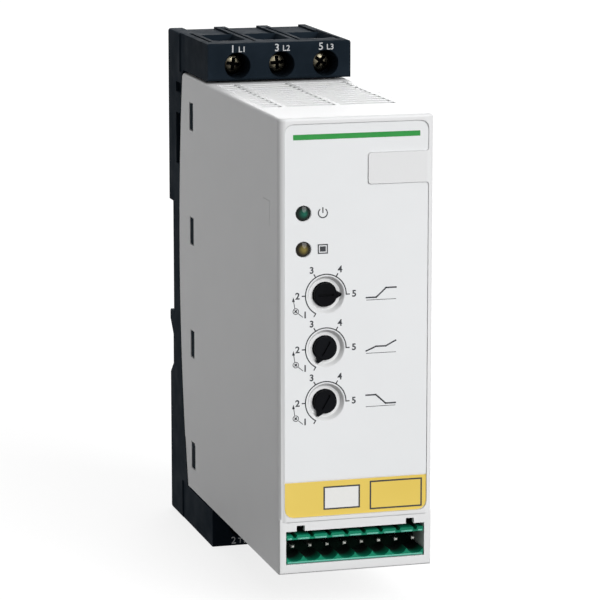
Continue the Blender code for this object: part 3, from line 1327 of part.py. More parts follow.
# Plug header: an open-ended moulded strip, scalloped round each pin, with grooves in its roof
def make_header():
    back = CONTROL_BOARD_FRONT + GAP
    end = PLUG_HALF_WIDTH
    outline = [(-end, PLUG_BOTTOM), (end, PLUG_BOTTOM), (end, PLUG_TOP)]
    for x in reversed(PLUG_XS):
        rim = KEY_WIDTH / 2
        floor = KEY_FLOOR / 2
        low = PLUG_TOP - KEY_DEPTH
        outline += [(x + rim, PLUG_TOP), (x + floor, low), (x - floor, low), (x - rim, PLUG_TOP)]
    outline.append((-end, PLUG_TOP))
    bm = bmesh.new()
    add_outline(bm, [front_outline(outline)], FRONT_PLANE, *deep(back, PLUG_FRONT))
    header = piece("plug_header", bm, HEADER_PLASTIC)
    meet = math.degrees(math.acos(PLUG_PITCH / 2 / TROUGH_RADIUS))
    side = math.degrees(math.acos((end + GAP - PLUG_XS[-1]) / TROUGH_RADIUS))
    outline = []
    for x in PLUG_XS:
        start = 180 + (side if x == PLUG_XS[0] else meet)
        stop = 360 - (side if x == PLUG_XS[-1] else meet)
        arc = arc_points((x, TROUGH_HEIGHT), TROUGH_RADIUS, start, stop, TROUGH_STEPS)
        outline += arc if not outline else arc[1:]
    left = outline[0]
    right = outline[-1]
    outline += [
        (end + OVERRUN, right[1]), (end + OVERRUN, PLUG_CEILING), (-end - OVERRUN, PLUG_CEILING),
        (-end - OVERRUN, left[1]),
    ]
    bm = bmesh.new()
    floor = back + PLUG_BACK_WALL
    add_outline(bm, [front_outline(outline)], FRONT_PLANE, *deep(floor, PLUG_FRONT + OVERRUN))
    boolean(header, cutter("header_cavity", bm))
    bm = bmesh.new()
    half = PIN_SIZE / 2 + PIN_GAP
    for x in PLUG_XS:
        hole = (back - OVERRUN, floor + OVERRUN)
        add_box(bm, (x - half, x + half), hole, (PIN_HEIGHT - half, PIN_HEIGHT + half))
    boolean(header, cutter("header_pin_holes", bm))


def make_pin(index, x):
    bm = bmesh.new()
    half = PIN_SIZE / 2
    tail = CONTROL_BOARD_DEPTH - PIN_TAIL
    add_box(bm, (x - half, x + half), (tail, PIN_TIP), (PIN_HEIGHT - half, PIN_HEIGHT + half))
    tip = at_depth(PIN_TIP)
    bevel_edges(bm, edges_where(bm, lambda co: near(co.y, tip)), PIN_SIZE * PIN_TAPER / 2, 1)
    piece(f"plug_pin_{index}", bm, TINNED_PIN)


make_header()
for number, pin_x in enumerate(PLUG_XS, 1):
    make_pin(number, pin_x)


# Boards
def make_boards():
    bm = bmesh.new()
    depth = (CONTROL_BOARD_DEPTH, CONTROL_BOARD_FRONT)
    half = PIN_SIZE / 2 + PIN_GAP
    outline = [
        (-CONTROL_BOARD_HALF_WIDTH, CONTROL_BOARD_LOW), (CONTROL_BOARD_HALF_WIDTH, CONTROL_BOARD_LOW),
        (CONTROL_BOARD_HALF_WIDTH, CONTROL_BOARD_HIGH), (-CONTROL_BOARD_HALF_WIDTH, CONTROL_BOARD_HIGH),
    ]
    holes = []
    for x in PLUG_XS:
        holes.append([
            (x - half, PIN_HEIGHT - half), (x + half, PIN_HEIGHT - half),
            (x + half, PIN_HEIGHT + half), (x - half, PIN_HEIGHT + half),
        ])
    loops = [front_outline(loop) for loop in [outline] + holes]
    add_outline(bm, loops, FRONT_PLANE, *deep(*depth))
    piece("control_board", bm, BOARD_LAMINATE)
    bm = bmesh.new()
    depth = (POWER_BOARD_DEPTH, POWER_BOARD_FRONT)
    width = (-POWER_BOARD_HALF_WIDTH, POWER_BOARD_HALF_WIDTH)
    add_box(bm, width, depth, (POWER_BOARD_LOW, POWER_BOARD_HIGH))
    piece("power_board", bm, BOARD_LAMINATE)


make_boards()


# Relays, power modules and their heatsink
def make_relay(name, side):
    bm = bmesh.new()
    half = RELAY_WIDTH / 2
    middle = side * RELAY_X
    back = POWER_BOARD_FRONT + GAP
    rise = (RELAY_LOW, RELAY_LOW + RELAY_HEIGHT)
    add_box(bm, (middle - half, middle + half), (back, back + RELAY_DEPTH), rise)
    front = at_depth(back + RELAY_DEPTH)
    bevel_edges(bm, edges_where(bm, lambda co: near(co.y, front)), RELAY_EDGE, 1)
    piece("bypass_relay_" + name, bm, RELAY_CASE)


def make_module(name, side):
    """A moulded power module against the heatsink, with leads to the board."""
    middle = side * MODULE_X
    half = MODULE_WIDTH / 2
    front = HEATSINK_DEPTH - GAP
    back = front - MODULE_THICKNESS
    bm = bmesh.new()
    add_box(bm, (middle - half, middle + half), (back, front), (MODULE_LOW, MODULE_LOW + MODULE_HEIGHT))
    module = piece("thyristor_" + name, bm, MOULDED_EPOXY)
    bm = bmesh.new()
    for index in range(LEAD_COUNT):
        x = middle + (index - (LEAD_COUNT - 1) / 2) * LEAD_PITCH
        lead = (x - LEAD_WIDTH / 2, x + LEAD_WIDTH / 2)
        low = MODULE_LOW + LEAD_RISE
        add_box(bm, lead, (POWER_BOARD_FRONT + GAP, back + OVERRUN), (low, low + LEAD_WIDTH))
    boolean(module, cutter("leads_" + name, bm), "UNION")


def make_heatsink():
    half = HEATSINK_HALF_WIDTH
    face = HEATSINK_DEPTH + HEATSINK_PLATE
    tip = HEATSINK_DEPTH + HEATSINK_PLATE + HEATSINK_LENGTH
    pitch = (2 * half - FIN_THICKNESS) / (FIN_COUNT - 1)
    outline = [(-half, at_depth(HEATSINK_DEPTH)), (half, at_depth(HEATSINK_DEPTH))]
    for index in reversed(range(FIN_COUNT)):
        left = -half + index * pitch
        right = left + FIN_THICKNESS
        if index < FIN_COUNT - 1:
            outline.append((right, at_depth(face)))
        outline += [(right - FIN_TAPER, at_depth(tip)), (left + FIN_TAPER, at_depth(tip))]
        if index > 0:
            outline.append((left, at_depth(face)))
    bm = bmesh.new()
    add_outline(bm, [outline], LEVEL_PLANE, at_height(HEATSINK_LOW), at_height(HEATSINK_HIGH))
    piece("heatsink", bm, EXTRUSION)


make_relay("left", -1)
make_relay("right", 1)
make_module("left", -1)
make_module("right", 1)
make_heatsink()


# Control supply on the back of the control board
def make_transformer():
    half = CORE_WIDTH / 2
    high = TRANSFORMER_HEIGHT + CORE_HEIGHT / 2
    low = TRANSFORMER_HEIGHT - CORE_HEIGHT / 2
    leg = CORE_LEG / 2
    window_out = half - CORE_LEG / 2 - COIL_TO_LEG
    bulge = CORE_DEPTH / 2 + GAP + COIL_BULGE
    middle = CONTROL_BOARD_DEPTH - GAP - bulge
    outer = [(-half, low), (half, low), (half, high), (-half, high)]
    loops = [outer]
    for side in (-1, 1):
        near_x = side * leg
        far_x = side * window_out
        sill = low + CORE_YOKE
        lintel = high - CORE_YOKE
        loops.append([(near_x, sill), (far_x, sill), (far_x, lintel), (near_x, lintel)])
    bm = bmesh.new()
    depth = (middle - CORE_DEPTH / 2, middle + CORE_DEPTH / 2)
    add_outline(bm, [front_outline(loop) for loop in loops], FRONT_PLANE, *deep(*depth))
    piece("transformer_core", bm, LAMINATION)
    coil_x = window_out - GAP
    bore_x = leg + GAP
    bore_d = CORE_DEPTH / 2 + GAP
    outer = rounded([
        (-coil_x, at_depth(middle + bulge), COIL_EDGE), (coil_x, at_depth(middle + bulge), COIL_EDGE),
        (coil_x, at_depth(middle - bulge), COIL_EDGE), (-coil_x, at_depth(middle - bulge), COIL_EDGE),
    ], 2)
    inner = [(-bore_x, at_depth(middle + bore_d)), (bore_x, at_depth(middle + bore_d)),
             (bore_x, at_depth(middle - bore_d)), (-bore_x, at_depth(middle - bore_d))]
    bm = bmesh.new()
    sill = low + CORE_YOKE + GAP
    lintel = high - CORE_YOKE - GAP
    add_outline(bm, [outer, inner], LEVEL_PLANE, at_height(sill), at_height(lintel))
    piece("transformer_coil", bm, COIL_TAPE)


def make_capacitor(name, x):
    front = CONTROL_BOARD_DEPTH - GAP
    can = front - CAPACITOR_LENGTH
    profile = [
        (front, 0.0), (front, CAPACITOR_RADIUS), (can + CAPACITOR_EDGE, CAPACITOR_RADIUS),
        (can, CAPACITOR_RADIUS - CAPACITOR_EDGE), (can, 0.0),
    ]
    turned("capacitor_" + name, profile, CAPACITOR_SLEEVE, (x, BACK_Y, at_height(CAPACITOR_HEIGHT)), 16)


def make_link():
    half = SOCKET_WIDTH / 2
    span = (SOCKET_X - half, SOCKET_X + half)
    height = (SOCKET_LOW, SOCKET_LOW + SOCKET_HEIGHT)
    rear = (POWER_BOARD_FRONT + GAP, POWER_BOARD_FRONT + GAP + SOCKET_LENGTH)
    front = (CONTROL_BOARD_DEPTH - GAP - SOCKET_LENGTH, CONTROL_BOARD_DEPTH - GAP)
    for name, depth in (("rear", rear), ("front", front)):
        bm = bmesh.new()
        add_box(bm, span, depth, height)
        piece("link_socket_" + name, bm, SOCKET_PLASTIC)
    bm = bmesh.new()
    half = RIBBON_WIDTH / 2
    middle = SOCKET_LOW + SOCKET_HEIGHT / 2
    thick = (middle - RIBBON_THICKNESS / 2, middle + RIBBON_THICKNESS / 2)
    add_box(bm, (SOCKET_X - half, SOCKET_X + half), (rear[1] + GAP, front[0] - GAP), thick)
    piece("link_ribbon", bm, RIBBON_PLASTIC)


make_transformer()
for place_name, place_x in zip(("left", "right"), CAPACITOR_XS):
    make_capacitor(place_name, place_x)
make_link()
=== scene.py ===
import json
import math

import bmesh
import bpy
from mathutils import Matrix, Vector

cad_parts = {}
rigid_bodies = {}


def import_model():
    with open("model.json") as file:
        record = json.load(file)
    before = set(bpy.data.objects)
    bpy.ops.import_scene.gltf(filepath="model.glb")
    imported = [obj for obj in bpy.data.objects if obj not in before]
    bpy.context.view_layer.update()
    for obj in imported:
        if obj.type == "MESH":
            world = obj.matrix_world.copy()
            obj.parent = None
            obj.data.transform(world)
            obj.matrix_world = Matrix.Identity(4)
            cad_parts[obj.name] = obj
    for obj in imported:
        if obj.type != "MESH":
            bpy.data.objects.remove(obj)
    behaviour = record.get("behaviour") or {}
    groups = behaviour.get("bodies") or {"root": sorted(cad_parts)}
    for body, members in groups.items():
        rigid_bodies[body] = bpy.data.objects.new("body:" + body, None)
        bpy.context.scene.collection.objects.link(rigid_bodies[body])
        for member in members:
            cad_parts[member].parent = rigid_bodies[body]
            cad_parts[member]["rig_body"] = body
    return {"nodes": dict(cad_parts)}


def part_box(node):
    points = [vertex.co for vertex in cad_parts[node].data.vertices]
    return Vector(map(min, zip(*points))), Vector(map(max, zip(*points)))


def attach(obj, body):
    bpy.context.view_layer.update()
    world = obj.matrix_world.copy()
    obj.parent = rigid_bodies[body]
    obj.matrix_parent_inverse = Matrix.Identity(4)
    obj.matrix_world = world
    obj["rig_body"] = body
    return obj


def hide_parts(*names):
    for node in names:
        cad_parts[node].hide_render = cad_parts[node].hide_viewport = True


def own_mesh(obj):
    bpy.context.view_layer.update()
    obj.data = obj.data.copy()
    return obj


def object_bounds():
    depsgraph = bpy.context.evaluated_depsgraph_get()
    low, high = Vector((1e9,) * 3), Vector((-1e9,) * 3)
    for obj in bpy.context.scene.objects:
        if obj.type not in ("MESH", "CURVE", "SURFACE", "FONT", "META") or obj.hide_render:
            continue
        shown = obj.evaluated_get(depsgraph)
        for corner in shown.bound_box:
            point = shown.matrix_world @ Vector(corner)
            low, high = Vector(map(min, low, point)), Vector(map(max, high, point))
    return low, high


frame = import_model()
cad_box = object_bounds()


# Studio. A pale floor lies under the foot of the base, a white surround gives fill, and soft lamps shine
# from the front right, from overhead and from behind. The camera stands left of the front, a little high.
CAMERA_PLACE = (-0.2503, -0.9601, 0.1732)
CAMERA_AZIMUTH = 15.66
CAMERA_PITCH = 10.76
CAMERA_LENS = 190.6
CAMERA_SENSOR = 36.0
CAMERA_NEAR = 0.01
SURROUND_FILL = 0.24
KEY_STRENGTH = 2.46
KEY_WAY = (0.40, -0.85, 0.44)
KEY_SPREAD = 40.0
TOP_STRENGTH = 0.45
TOP_WAY = (0.05, -0.06, 1.0)
TOP_SPREAD = 60.0
REAR_STRENGTH = 0.9
REAR_WAY = (0.34, 0.86, 0.34)
REAR_SPREAD = 40.0
FLOOR_SIZE = 9.0
FLOOR_GREY = 0.28
FLOOR_LIFT = 0.80
FLOOR_ROUGHNESS = 0.9
FLOOR_SPECULAR = 0.1

camera = bpy.data.objects.new("camera", bpy.data.cameras.new("camera"))
camera.data.lens = CAMERA_LENS
camera.data.sensor_width = CAMERA_SENSOR
camera.data.clip_start = CAMERA_NEAR
camera.location = CAMERA_PLACE
camera.rotation_euler = (math.radians(90.0 - CAMERA_PITCH), 0.0, math.radians(-CAMERA_AZIMUTH))
bpy.context.scene.collection.objects.link(camera)
bpy.context.scene.camera = camera
bpy.context.scene.view_settings.view_transform = "Standard"


def mesh_object(name, bm, finish=None):
    """Turns a bmesh into an object of the scene, with its finish if that is made already."""
    mesh = bpy.data.meshes.new(name)
    bm.to_mesh(mesh)
    bm.free()
    if finish:
        mesh.materials.append(finish)
    made = bpy.data.objects.new(name, mesh)
    bpy.context.scene.collection.objects.link(made)
    return made


def white_to_camera(tree):
    """One where a camera, glossy or transmission ray looks, nought where light is gathered."""
    path = tree.nodes.new("ShaderNodeLightPath")
    seen = path.outputs["Is Camera Ray"]
    for ray in ("Is Glossy Ray", "Is Transmission Ray"):
        both = tree.nodes.new("ShaderNodeMath")
        both.operation = "ADD"
        both.use_clamp = True
        tree.links.new(seen, both.inputs[0])
        tree.links.new(path.outputs[ray], both.inputs[1])
        seen = both.outputs[0]
    return seen


def light_surround():
    """A world that looks white, and lights the object only as much as its fill."""
    world = bpy.data.worlds.new("surround")
    bpy.context.scene.world = world
    world.use_nodes = True
    tree = world.node_tree
    strength = tree.nodes.new("ShaderNodeMapRange")
    strength.inputs["To Min"].default_value = SURROUND_FILL
    strength.inputs["To Max"].default_value = 1.0
    tree.links.new(white_to_camera(tree), strength.inputs["Value"])
    background = tree.nodes["Background"]
    background.inputs["Color"].default_value = (1.0, 1.0, 1.0, 1.0)
    tree.links.new(strength.outputs["Result"], background.inputs["Strength"])


def hang_lamp(name, strength, way, spread):
    """A wide soft lamp, its way pointing from the object towards it."""
    lamp = bpy.data.objects.new(name, bpy.data.lights.new(name, "SUN"))
    lamp.data.energy = strength
    lamp.data.angle = math.radians(spread)
    lamp.rotation_mode = "QUATERNION"
    lamp.rotation_quaternion = Vector(way).to_track_quat("Z", "Y")
    bpy.context.scene.collection.objects.link(lamp)


def lay_floor():
    """A sheet of grey paper that keeps the object's shadow and is lifted to white for the camera."""
    bm = bmesh.new()
    place = Matrix.Translation((0.0, 0.0, cad_box[0].z))
    bmesh.ops.create_grid(bm, x_segments=1, y_segments=1, size=FLOOR_SIZE / 2, matrix=place)
    floor = mesh_object("floor", bm)
    paper = bpy.data.materials.new("floor paper")
    paper.use_nodes = True
    tree = paper.node_tree
    sheet = tree.nodes["Principled BSDF"]
    sheet.inputs["Base Color"].default_value = (FLOOR_GREY, FLOOR_GREY, FLOOR_GREY, 1.0)
    sheet.inputs["Roughness"].default_value = FLOOR_ROUGHNESS
    sheet.inputs["Specular IOR Level"].default_value = FLOOR_SPECULAR
    lift = tree.nodes.new("ShaderNodeEmission")
    scale = tree.nodes.new("ShaderNodeMath")
    scale.operation = "MULTIPLY"
    scale.inputs[1].default_value = FLOOR_LIFT
    tree.links.new(white_to_camera(tree), scale.inputs[0])
    tree.links.new(scale.outputs[0], lift.inputs["Strength"])
    both = tree.nodes.new("ShaderNodeAddShader")
    tree.links.new(sheet.outputs["BSDF"], both.inputs[0])
    tree.links.new(lift.outputs["Emission"], both.inputs[1])
    tree.links.new(both.outputs[0], tree.nodes["Material Output"].inputs["Surface"])
    floor.data.materials.append(paper)


light_surround()
hang_lamp("key_lamp", KEY_STRENGTH, KEY_WAY, KEY_SPREAD)
hang_lamp("top_lamp", TOP_STRENGTH, TOP_WAY, TOP_SPREAD)
hang_lamp("rear_lamp", REAR_STRENGTH, REAR_WAY, REAR_SPREAD)
lay_floor()


# Base housing and rail latch. Both are black glass-filled plastic, moulded against a spark-eroded tool, so
# the skin is a dull blue-black with a fine grain. The housing is one piece, the latch slides in its rear
# face, and fingers of the housing snap into windows of the front cover.
BLACK_COLOURS = ((0.0085, 0.0135, 0.0195), (0.0135, 0.0205, 0.0290))
GRAIN_SCALE = 3000.0
GRAIN_DEPTH = 0.00002
NOISE_MIDDLE = (0.3, 0.7)
MOTTLE_MIDDLE = (0.35, 0.65)
MIX_COLOURS = (6, 7)
MIX_RESULT = 2
SKIN_INPUTS = (
    ("Vector", "NodeSocketVector"), ("Deep", "NodeSocketColor"), ("Pale", "NodeSocketColor"),
    ("Scale", "NodeSocketFloat"), ("Smooth", "NodeSocketFloat"), ("Rough", "NodeSocketFloat"),
)
SKIN_OUTPUTS = (
    ("Colour", "NodeSocketColor"), ("Roughness", "NodeSocketFloat"), ("Height", "NodeSocketFloat"),
)
WELD = 0.000002
SHARP_EDGE = 50.0
NORMAL_DIGITS = 3
OFFSET_DIGITS = 5


def new_skin(name):
    """An empty node group for a surface, with its sockets and its two end nodes."""
    tree = bpy.data.node_groups.new(name, "ShaderNodeTree")
    for label, kind in SKIN_INPUTS:
        tree.interface.new_socket(name=label, in_out="INPUT", socket_type=kind)
    for label, kind in SKIN_OUTPUTS:
        tree.interface.new_socket(name=label, in_out="OUTPUT", socket_type=kind)
    return tree, tree.nodes.new("NodeGroupInput"), tree.nodes.new("NodeGroupOutput")


def noise_in(tree, vector, scale, detail, roughness=0.5):
    """A noise texture in a node tree, its scale a number or a socket."""
    noise = tree.nodes.new("ShaderNodeTexNoise")
    noise.inputs["Detail"].default_value = detail
    noise.inputs["Roughness"].default_value = roughness
    tree.links.new(vector, noise.inputs["Vector"])
    if isinstance(scale, float):
        noise.inputs["Scale"].default_value = scale
    else:
        tree.links.new(scale, noise.inputs["Scale"])
    return noise.outputs["Fac"]


def range_in(tree, value, low, high, to_low=0.0, to_high=1.0):
    """A map range node; the target ends may be numbers or sockets."""
    mapping = tree.nodes.new("ShaderNodeMapRange")
    mapping.inputs["From Min"].default_value = low
    mapping.inputs["From Max"].default_value = high
    for label, end in (("To Min", to_low), ("To Max", to_high)):
        if isinstance(end, float):
            mapping.inputs[label].default_value = end
        else:
            tree.links.new(end, mapping.inputs[label])
    tree.links.new(value, mapping.inputs["Value"])
    return mapping.outputs["Result"]


def cloud_in(tree, vector, scale, detail, ends=(0.0, 1.0)):
    """A noise whose middle is spread over the whole way between two ends."""
    return range_in(tree, noise_in(tree, vector, scale, detail), *NOISE_MIDDLE, *ends)


def mix_in(tree, factor, first, second):
    """A colour mix, by the node's own colour sockets; each colour may be a tuple or a socket."""
    mix = tree.nodes.new("ShaderNodeMix")
    mix.data_type = "RGBA"
    tree.links.new(factor, mix.inputs["Factor"])
    for index, colour in zip(MIX_COLOURS, (first, second)):
        if isinstance(colour, tuple):
            mix.inputs[index].default_value = (*colour, 1.0)
        else:
            tree.links.new(colour, mix.inputs[index])
    return mix.outputs[MIX_RESULT]


def make_moulded_skin():
    """A moulded plastic: a slow mottle in the colour, a change of gloss and a fine even grain."""
    tree, start, end = new_skin("moulded skin")
    where = start.outputs["Vector"]
    slow = noise_in(tree, where, scale=45.0, detail=4.0, roughness=0.6)
    mottle = range_in(tree, slow, *MOTTLE_MIDDLE)
    colour = mix_in(tree, mottle, start.outputs["Deep"], start.outputs["Pale"])
    ends = (start.outputs["Smooth"], start.outputs["Rough"])
    gloss = cloud_in(tree, where, scale=160.0, detail=3.0, ends=ends)
    grain = noise_in(tree, where, start.outputs["Scale"], detail=2.0)
    tree.links.new(colour, end.inputs["Colour"])
    tree.links.new(gloss, end.inputs["Roughness"])
    tree.links.new(grain, end.inputs["Height"])
    return tree


MOULDED_SKIN = make_moulded_skin()


def finish_base(name):
    """A material with its Principled shader and the object's own coordinates."""
    made = bpy.data.materials.new(name)
    made.use_nodes = True
    tree = made.node_tree
    where = tree.nodes.new("ShaderNodeTexCoord").outputs["Object"]
    return made, tree, tree.nodes["Principled BSDF"], where


def place_skin(tree, group, where, colours, scale, roughness):
    """Puts a surface's node group into a material, with the material's own values."""
    skin = tree.nodes.new("ShaderNodeGroup")
    skin.node_tree = group
    skin.inputs["Deep"].default_value = (*colours[0], 1.0)
    skin.inputs["Pale"].default_value = (*colours[1], 1.0)
    skin.inputs["Scale"].default_value = scale
    skin.inputs["Smooth"].default_value = roughness[0]
    skin.inputs["Rough"].default_value = roughness[1]
    tree.links.new(where, skin.inputs["Vector"])
    return skin.outputs


def bump_in(tree, shader, height, distance):
    """Raises the surface a little, so that it catches the light unevenly."""
    bump = tree.nodes.new("ShaderNodeBump")
    bump.inputs["Strength"].default_value = 1.0
    bump.inputs["Distance"].default_value = distance
    tree.links.new(height, bump.inputs["Height"])
    tree.links.new(bump.outputs["Normal"], shader.inputs["Normal"])


def moulded_plastic(name, colours, roughness, grain=GRAIN_SCALE, depth=GRAIN_DEPTH, specular=0.5):
    """Plastic as it leaves its tool."""
    made, tree, shader, where = finish_base(name)
    skin = place_skin(tree, MOULDED_SKIN, where, colours, grain, roughness)
    tree.links.new(skin["Colour"], shader.inputs["Base Color"])
    tree.links.new(skin["Roughness"], shader.inputs["Roughness"])
    shader.inputs["Specular IOR Level"].default_value = specular
    bump_in(tree, shader, skin["Height"], depth)
    return made


def dress(node, finish):
    """Gives a CAD node its finish as it stands."""
    mesh = frame["nodes"][node].data
    mesh.materials.clear()
    mesh.materials.append(finish)


def corner_normals(bm, sharp):
    """Normals of face corners that lean to the widest flat round them, so that flats keep looking flat."""
    flats = {}
    flat_of = []
    for face in bm.faces:
        offset = face.normal.dot(face.verts[0].co)
        flat = (*(round(part, NORMAL_DIGITS) for part in face.normal), round(offset, OFFSET_DIGITS))
        flat_of.append(flat)
        flats[flat] = flats.get(flat, 0.0) + face.calc_area()
    corners = []
    for face in bm.faces:
        for vert in face.verts:
            near = {}
            for other in vert.link_faces:
                if other.normal.angle(face.normal, 0.0) < sharp:
                    near[flat_of[other.index]] = other.normal
            total = sum((normal * flats[flat] for flat, normal in near.items()), Vector())
            corners.append(total.normalized() if total.length > 0.0 else face.normal.copy())
    return corners


def skin_piece(node, bm, finish, sharp, body=None):
    """Welds a mesh, shades its round faces smooth, and sets it in a node's place."""
    bmesh.ops.remove_doubles(bm, verts=bm.verts, dist=WELD)
    bmesh.ops.recalc_face_normals(bm, faces=bm.faces)
    bm.faces.index_update()
    corners = corner_normals(bm, math.radians(sharp))
    piece = mesh_object(node + "_skin", bm, finish)
    piece.data.shade_smooth()
    piece.data.normals_split_custom_set(corners)
    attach(piece, body or frame["nodes"][node]["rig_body"])
    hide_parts(node)
    return piece


def smoothed(node, finish, sharp=SHARP_EDGE, body=None):
    """A welded copy of a CAD node with its round faces shaded smooth, which stands for the node."""
    bm = bmesh.new()
    bm.from_mesh(frame["nodes"][node].data)
    return skin_piece(node, bm, finish, sharp, body)


black_plastic = moulded_plastic(
    "black moulded plastic", BLACK_COLOURS, roughness=(0.56, 0.70), specular=0.008,
)
smoothed("base_housing", black_plastic)
smoothed("din_latch", black_plastic)

FINGER_ROWS = 4
FINGER_FIRST = 0.0236
FINGER_LAST_INSET = 0.0122
FINGER_DEPTH = 0.0294
FINGER_SIZE = (0.00066, 0.0042, 0.0080)
FINGER_INSET = 0.00016
FINGER_ROUND = 0.0005
ROUND_STEPS = 3


def round_edges(bm, edges, width):
    """Rounds some edges of a mesh."""
    bmesh.ops.bevel(
        bm, geom=edges, offset=width, segments=ROUND_STEPS, profile=0.5, affect="EDGES",
        clamp_overlap=True, material=-1,
    )


def cap_fingers(name, side):
    """The raised end faces of the snap fingers, which fill the windows of one side of the cover."""
    bm = bmesh.new()
    first = cad_box[0].z + FINGER_FIRST
    pitch = (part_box("front_cover")[1].z - FINGER_LAST_INSET - first) / (FINGER_ROWS - 1)
    x = side * (cad_box[1].x - FINGER_INSET - FINGER_SIZE[0] / 2)
    for row in range(FINGER_ROWS):
        place = Matrix.Translation((x, cad_box[1].y - FINGER_DEPTH, first + row * pitch))
        bmesh.ops.create_cube(bm, size=1.0, matrix=place @ Matrix.Diagonal((*FINGER_SIZE, 1.0)))
    across = FINGER_SIZE[0] / 2
    level = [edge for edge in bm.edges if abs(edge.verts[0].co.x - edge.verts[1].co.x) > across]
    round_edges(bm, level, FINGER_ROUND)
    bmesh.ops.recalc_face_normals(bm, faces=bm.faces)
    piece = mesh_object(name, bm, black_plastic)
    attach(piece, "housing")


cap_fingers("snap_finger_ends_left", -1)
cap_fingers("snap_finger_ends_right", 1)


# Terminal marks. Plain numbers and phase marks are pad-printed in white on the front of each terminal
# block, one pair over each upper screw and one under each lower screw.
MARK_SINK = 0.00001
MARK_NUMBER_SIZE = 0.0031
MARK_PHASE_SIZE = 0.0024
MARK_PHASE_DROP = 0.0002
MARK_INSET = 0.0017
MARK_WEIGHT = 0.00003
MARK_PLACES = {"u": (-0.0015, 0.0014), "l": (-0.0026, 0.0001)}
UPPER_MARKS = (("1", "L1"), ("3", "L2"), ("5", "L3"))
LOWER_MARKS = (("2", "T1"), ("4", "T2"), ("6", "T3"))
BEYOND_COVER = 0.002
INK_WHITE = (0.56, 0.57, 0.58)
INK_WORN = 0.86
INK_DUST = 0.003
INK_DEPTH = 0.000004
INK_WELD = 0.000001


def printed_ink(name, colour, worn=INK_WORN):
    """A thin matt ink, a little uneven where the pad or screen left it."""
    made, tree, shader, where = finish_base(name)
    cover = cloud_in(tree, where, scale=900.0, detail=3.0)
    gloss = cloud_in(tree, where, scale=400.0, detail=2.0, ends=(0.45, 0.6))
    faded = tuple(part * worn + INK_DUST for part in colour)
    tree.links.new(mix_in(tree, cover, faded, colour), shader.inputs["Base Color"])
    tree.links.new(gloss, shader.inputs["Roughness"])
    bump_in(tree, shader, cover, INK_DEPTH)
    return made


def ink_text(bm, words, x, y, z, size, weight):
    """Flat lettering that faces the front, centred on a point, joined to the mesh."""
    curve = bpy.data.curves.new("lettering", "FONT")
    curve.body = words
    curve.size = size
    curve.offset = weight
    curve.align_x = "CENTER"
    curve.align_y = "CENTER"
    holder = bpy.data.objects.new("lettering", curve)
    bpy.context.scene.collection.objects.link(holder)
    graph = bpy.context.evaluated_depsgraph_get()
    mesh = bpy.data.meshes.new_from_object(holder.evaluated_get(graph))
    bpy.data.objects.remove(holder)
    mesh.transform(Matrix.Translation((x, y, z)) @ Matrix.Rotation(math.pi / 2, 4, "X"))
    bm.from_mesh(mesh)
    bpy.data.meshes.remove(mesh)


def ink_piece(name, bm, ink):
    """Turns the marks to face the front and prints them as one piece."""
    bmesh.ops.remove_doubles(bm, verts=bm.verts, dist=INK_WELD)
    bm.normal_update()
    backward = [face for face in bm.faces if face.normal.y > 0]
    bmesh.ops.reverse_faces(bm, faces=backward)
    piece = mesh_object(name, bm, ink)
    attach(piece, "housing")


def middle_of(node):
    """The middle of a node as seen from the front, across and up."""
    low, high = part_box(node)
    return (low.x + high.x) / 2, (low.z + high.z) / 2


def front_of_block(tag):
    """The Y of a terminal block's front face, found on the housing's corners beyond the cover's ends."""
    cover_low, cover_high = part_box("front_cover")
    corners = [vert.co for vert in frame["nodes"]["base_housing"].data.vertices]
    if tag == "u":
        return min(co.y for co in corners if co.z > cover_high.z + BEYOND_COVER)
    return min(co.y for co in corners if co.z < cover_low.z - BEYOND_COVER)


def print_terminal_marks():
    """Both rows of marks, the upper row at the top edge and the lower one at the bottom edge."""
    ink = printed_ink("white pad print", INK_WHITE)
    for tag, marks, side in (("u", UPPER_MARKS, 1), ("l", LOWER_MARKS, -1)):
        bm = bmesh.new()
        edge = cad_box[1].z if side > 0 else cad_box[0].z
        y = front_of_block(tag) - MARK_SINK
        z = edge - side * MARK_INSET
        for index, (number, phase) in enumerate(marks, 1):
            middle = middle_of(f"terminal_screw_{tag}{index}")[0]
            left, right = (middle + shift for shift in MARK_PLACES[tag])
            ink_text(bm, number, left, y, z, MARK_NUMBER_SIZE, MARK_WEIGHT)
            ink_text(bm, phase, right, y, z - MARK_PHASE_DROP, MARK_PHASE_SIZE, MARK_WEIGHT)
        ink_piece("terminal_marks_" + tag, bm, ink)


print_terminal_marks()


# Terminal hardware. The screws are steel with a yellow-passivated zinc plate and a rolled thread, the
# clamp cages are folded steel with a clear zinc plate, and the strips are tinned copper. A screw draws its
# cage up to the strip, and a spring of drawn wire pushes the rail latch home.
# The screw heads run from near black to a pale yellow in clouds: the yellow tint is the zinc plate, and
# the dark and pale clouds are painted reflections of a dark room with bright lamps.
SCREW_PLATE_AND_PAINTED_REFLECTIONS = ((0.020, 0.018, 0.015), (0.300, 0.270, 0.190))
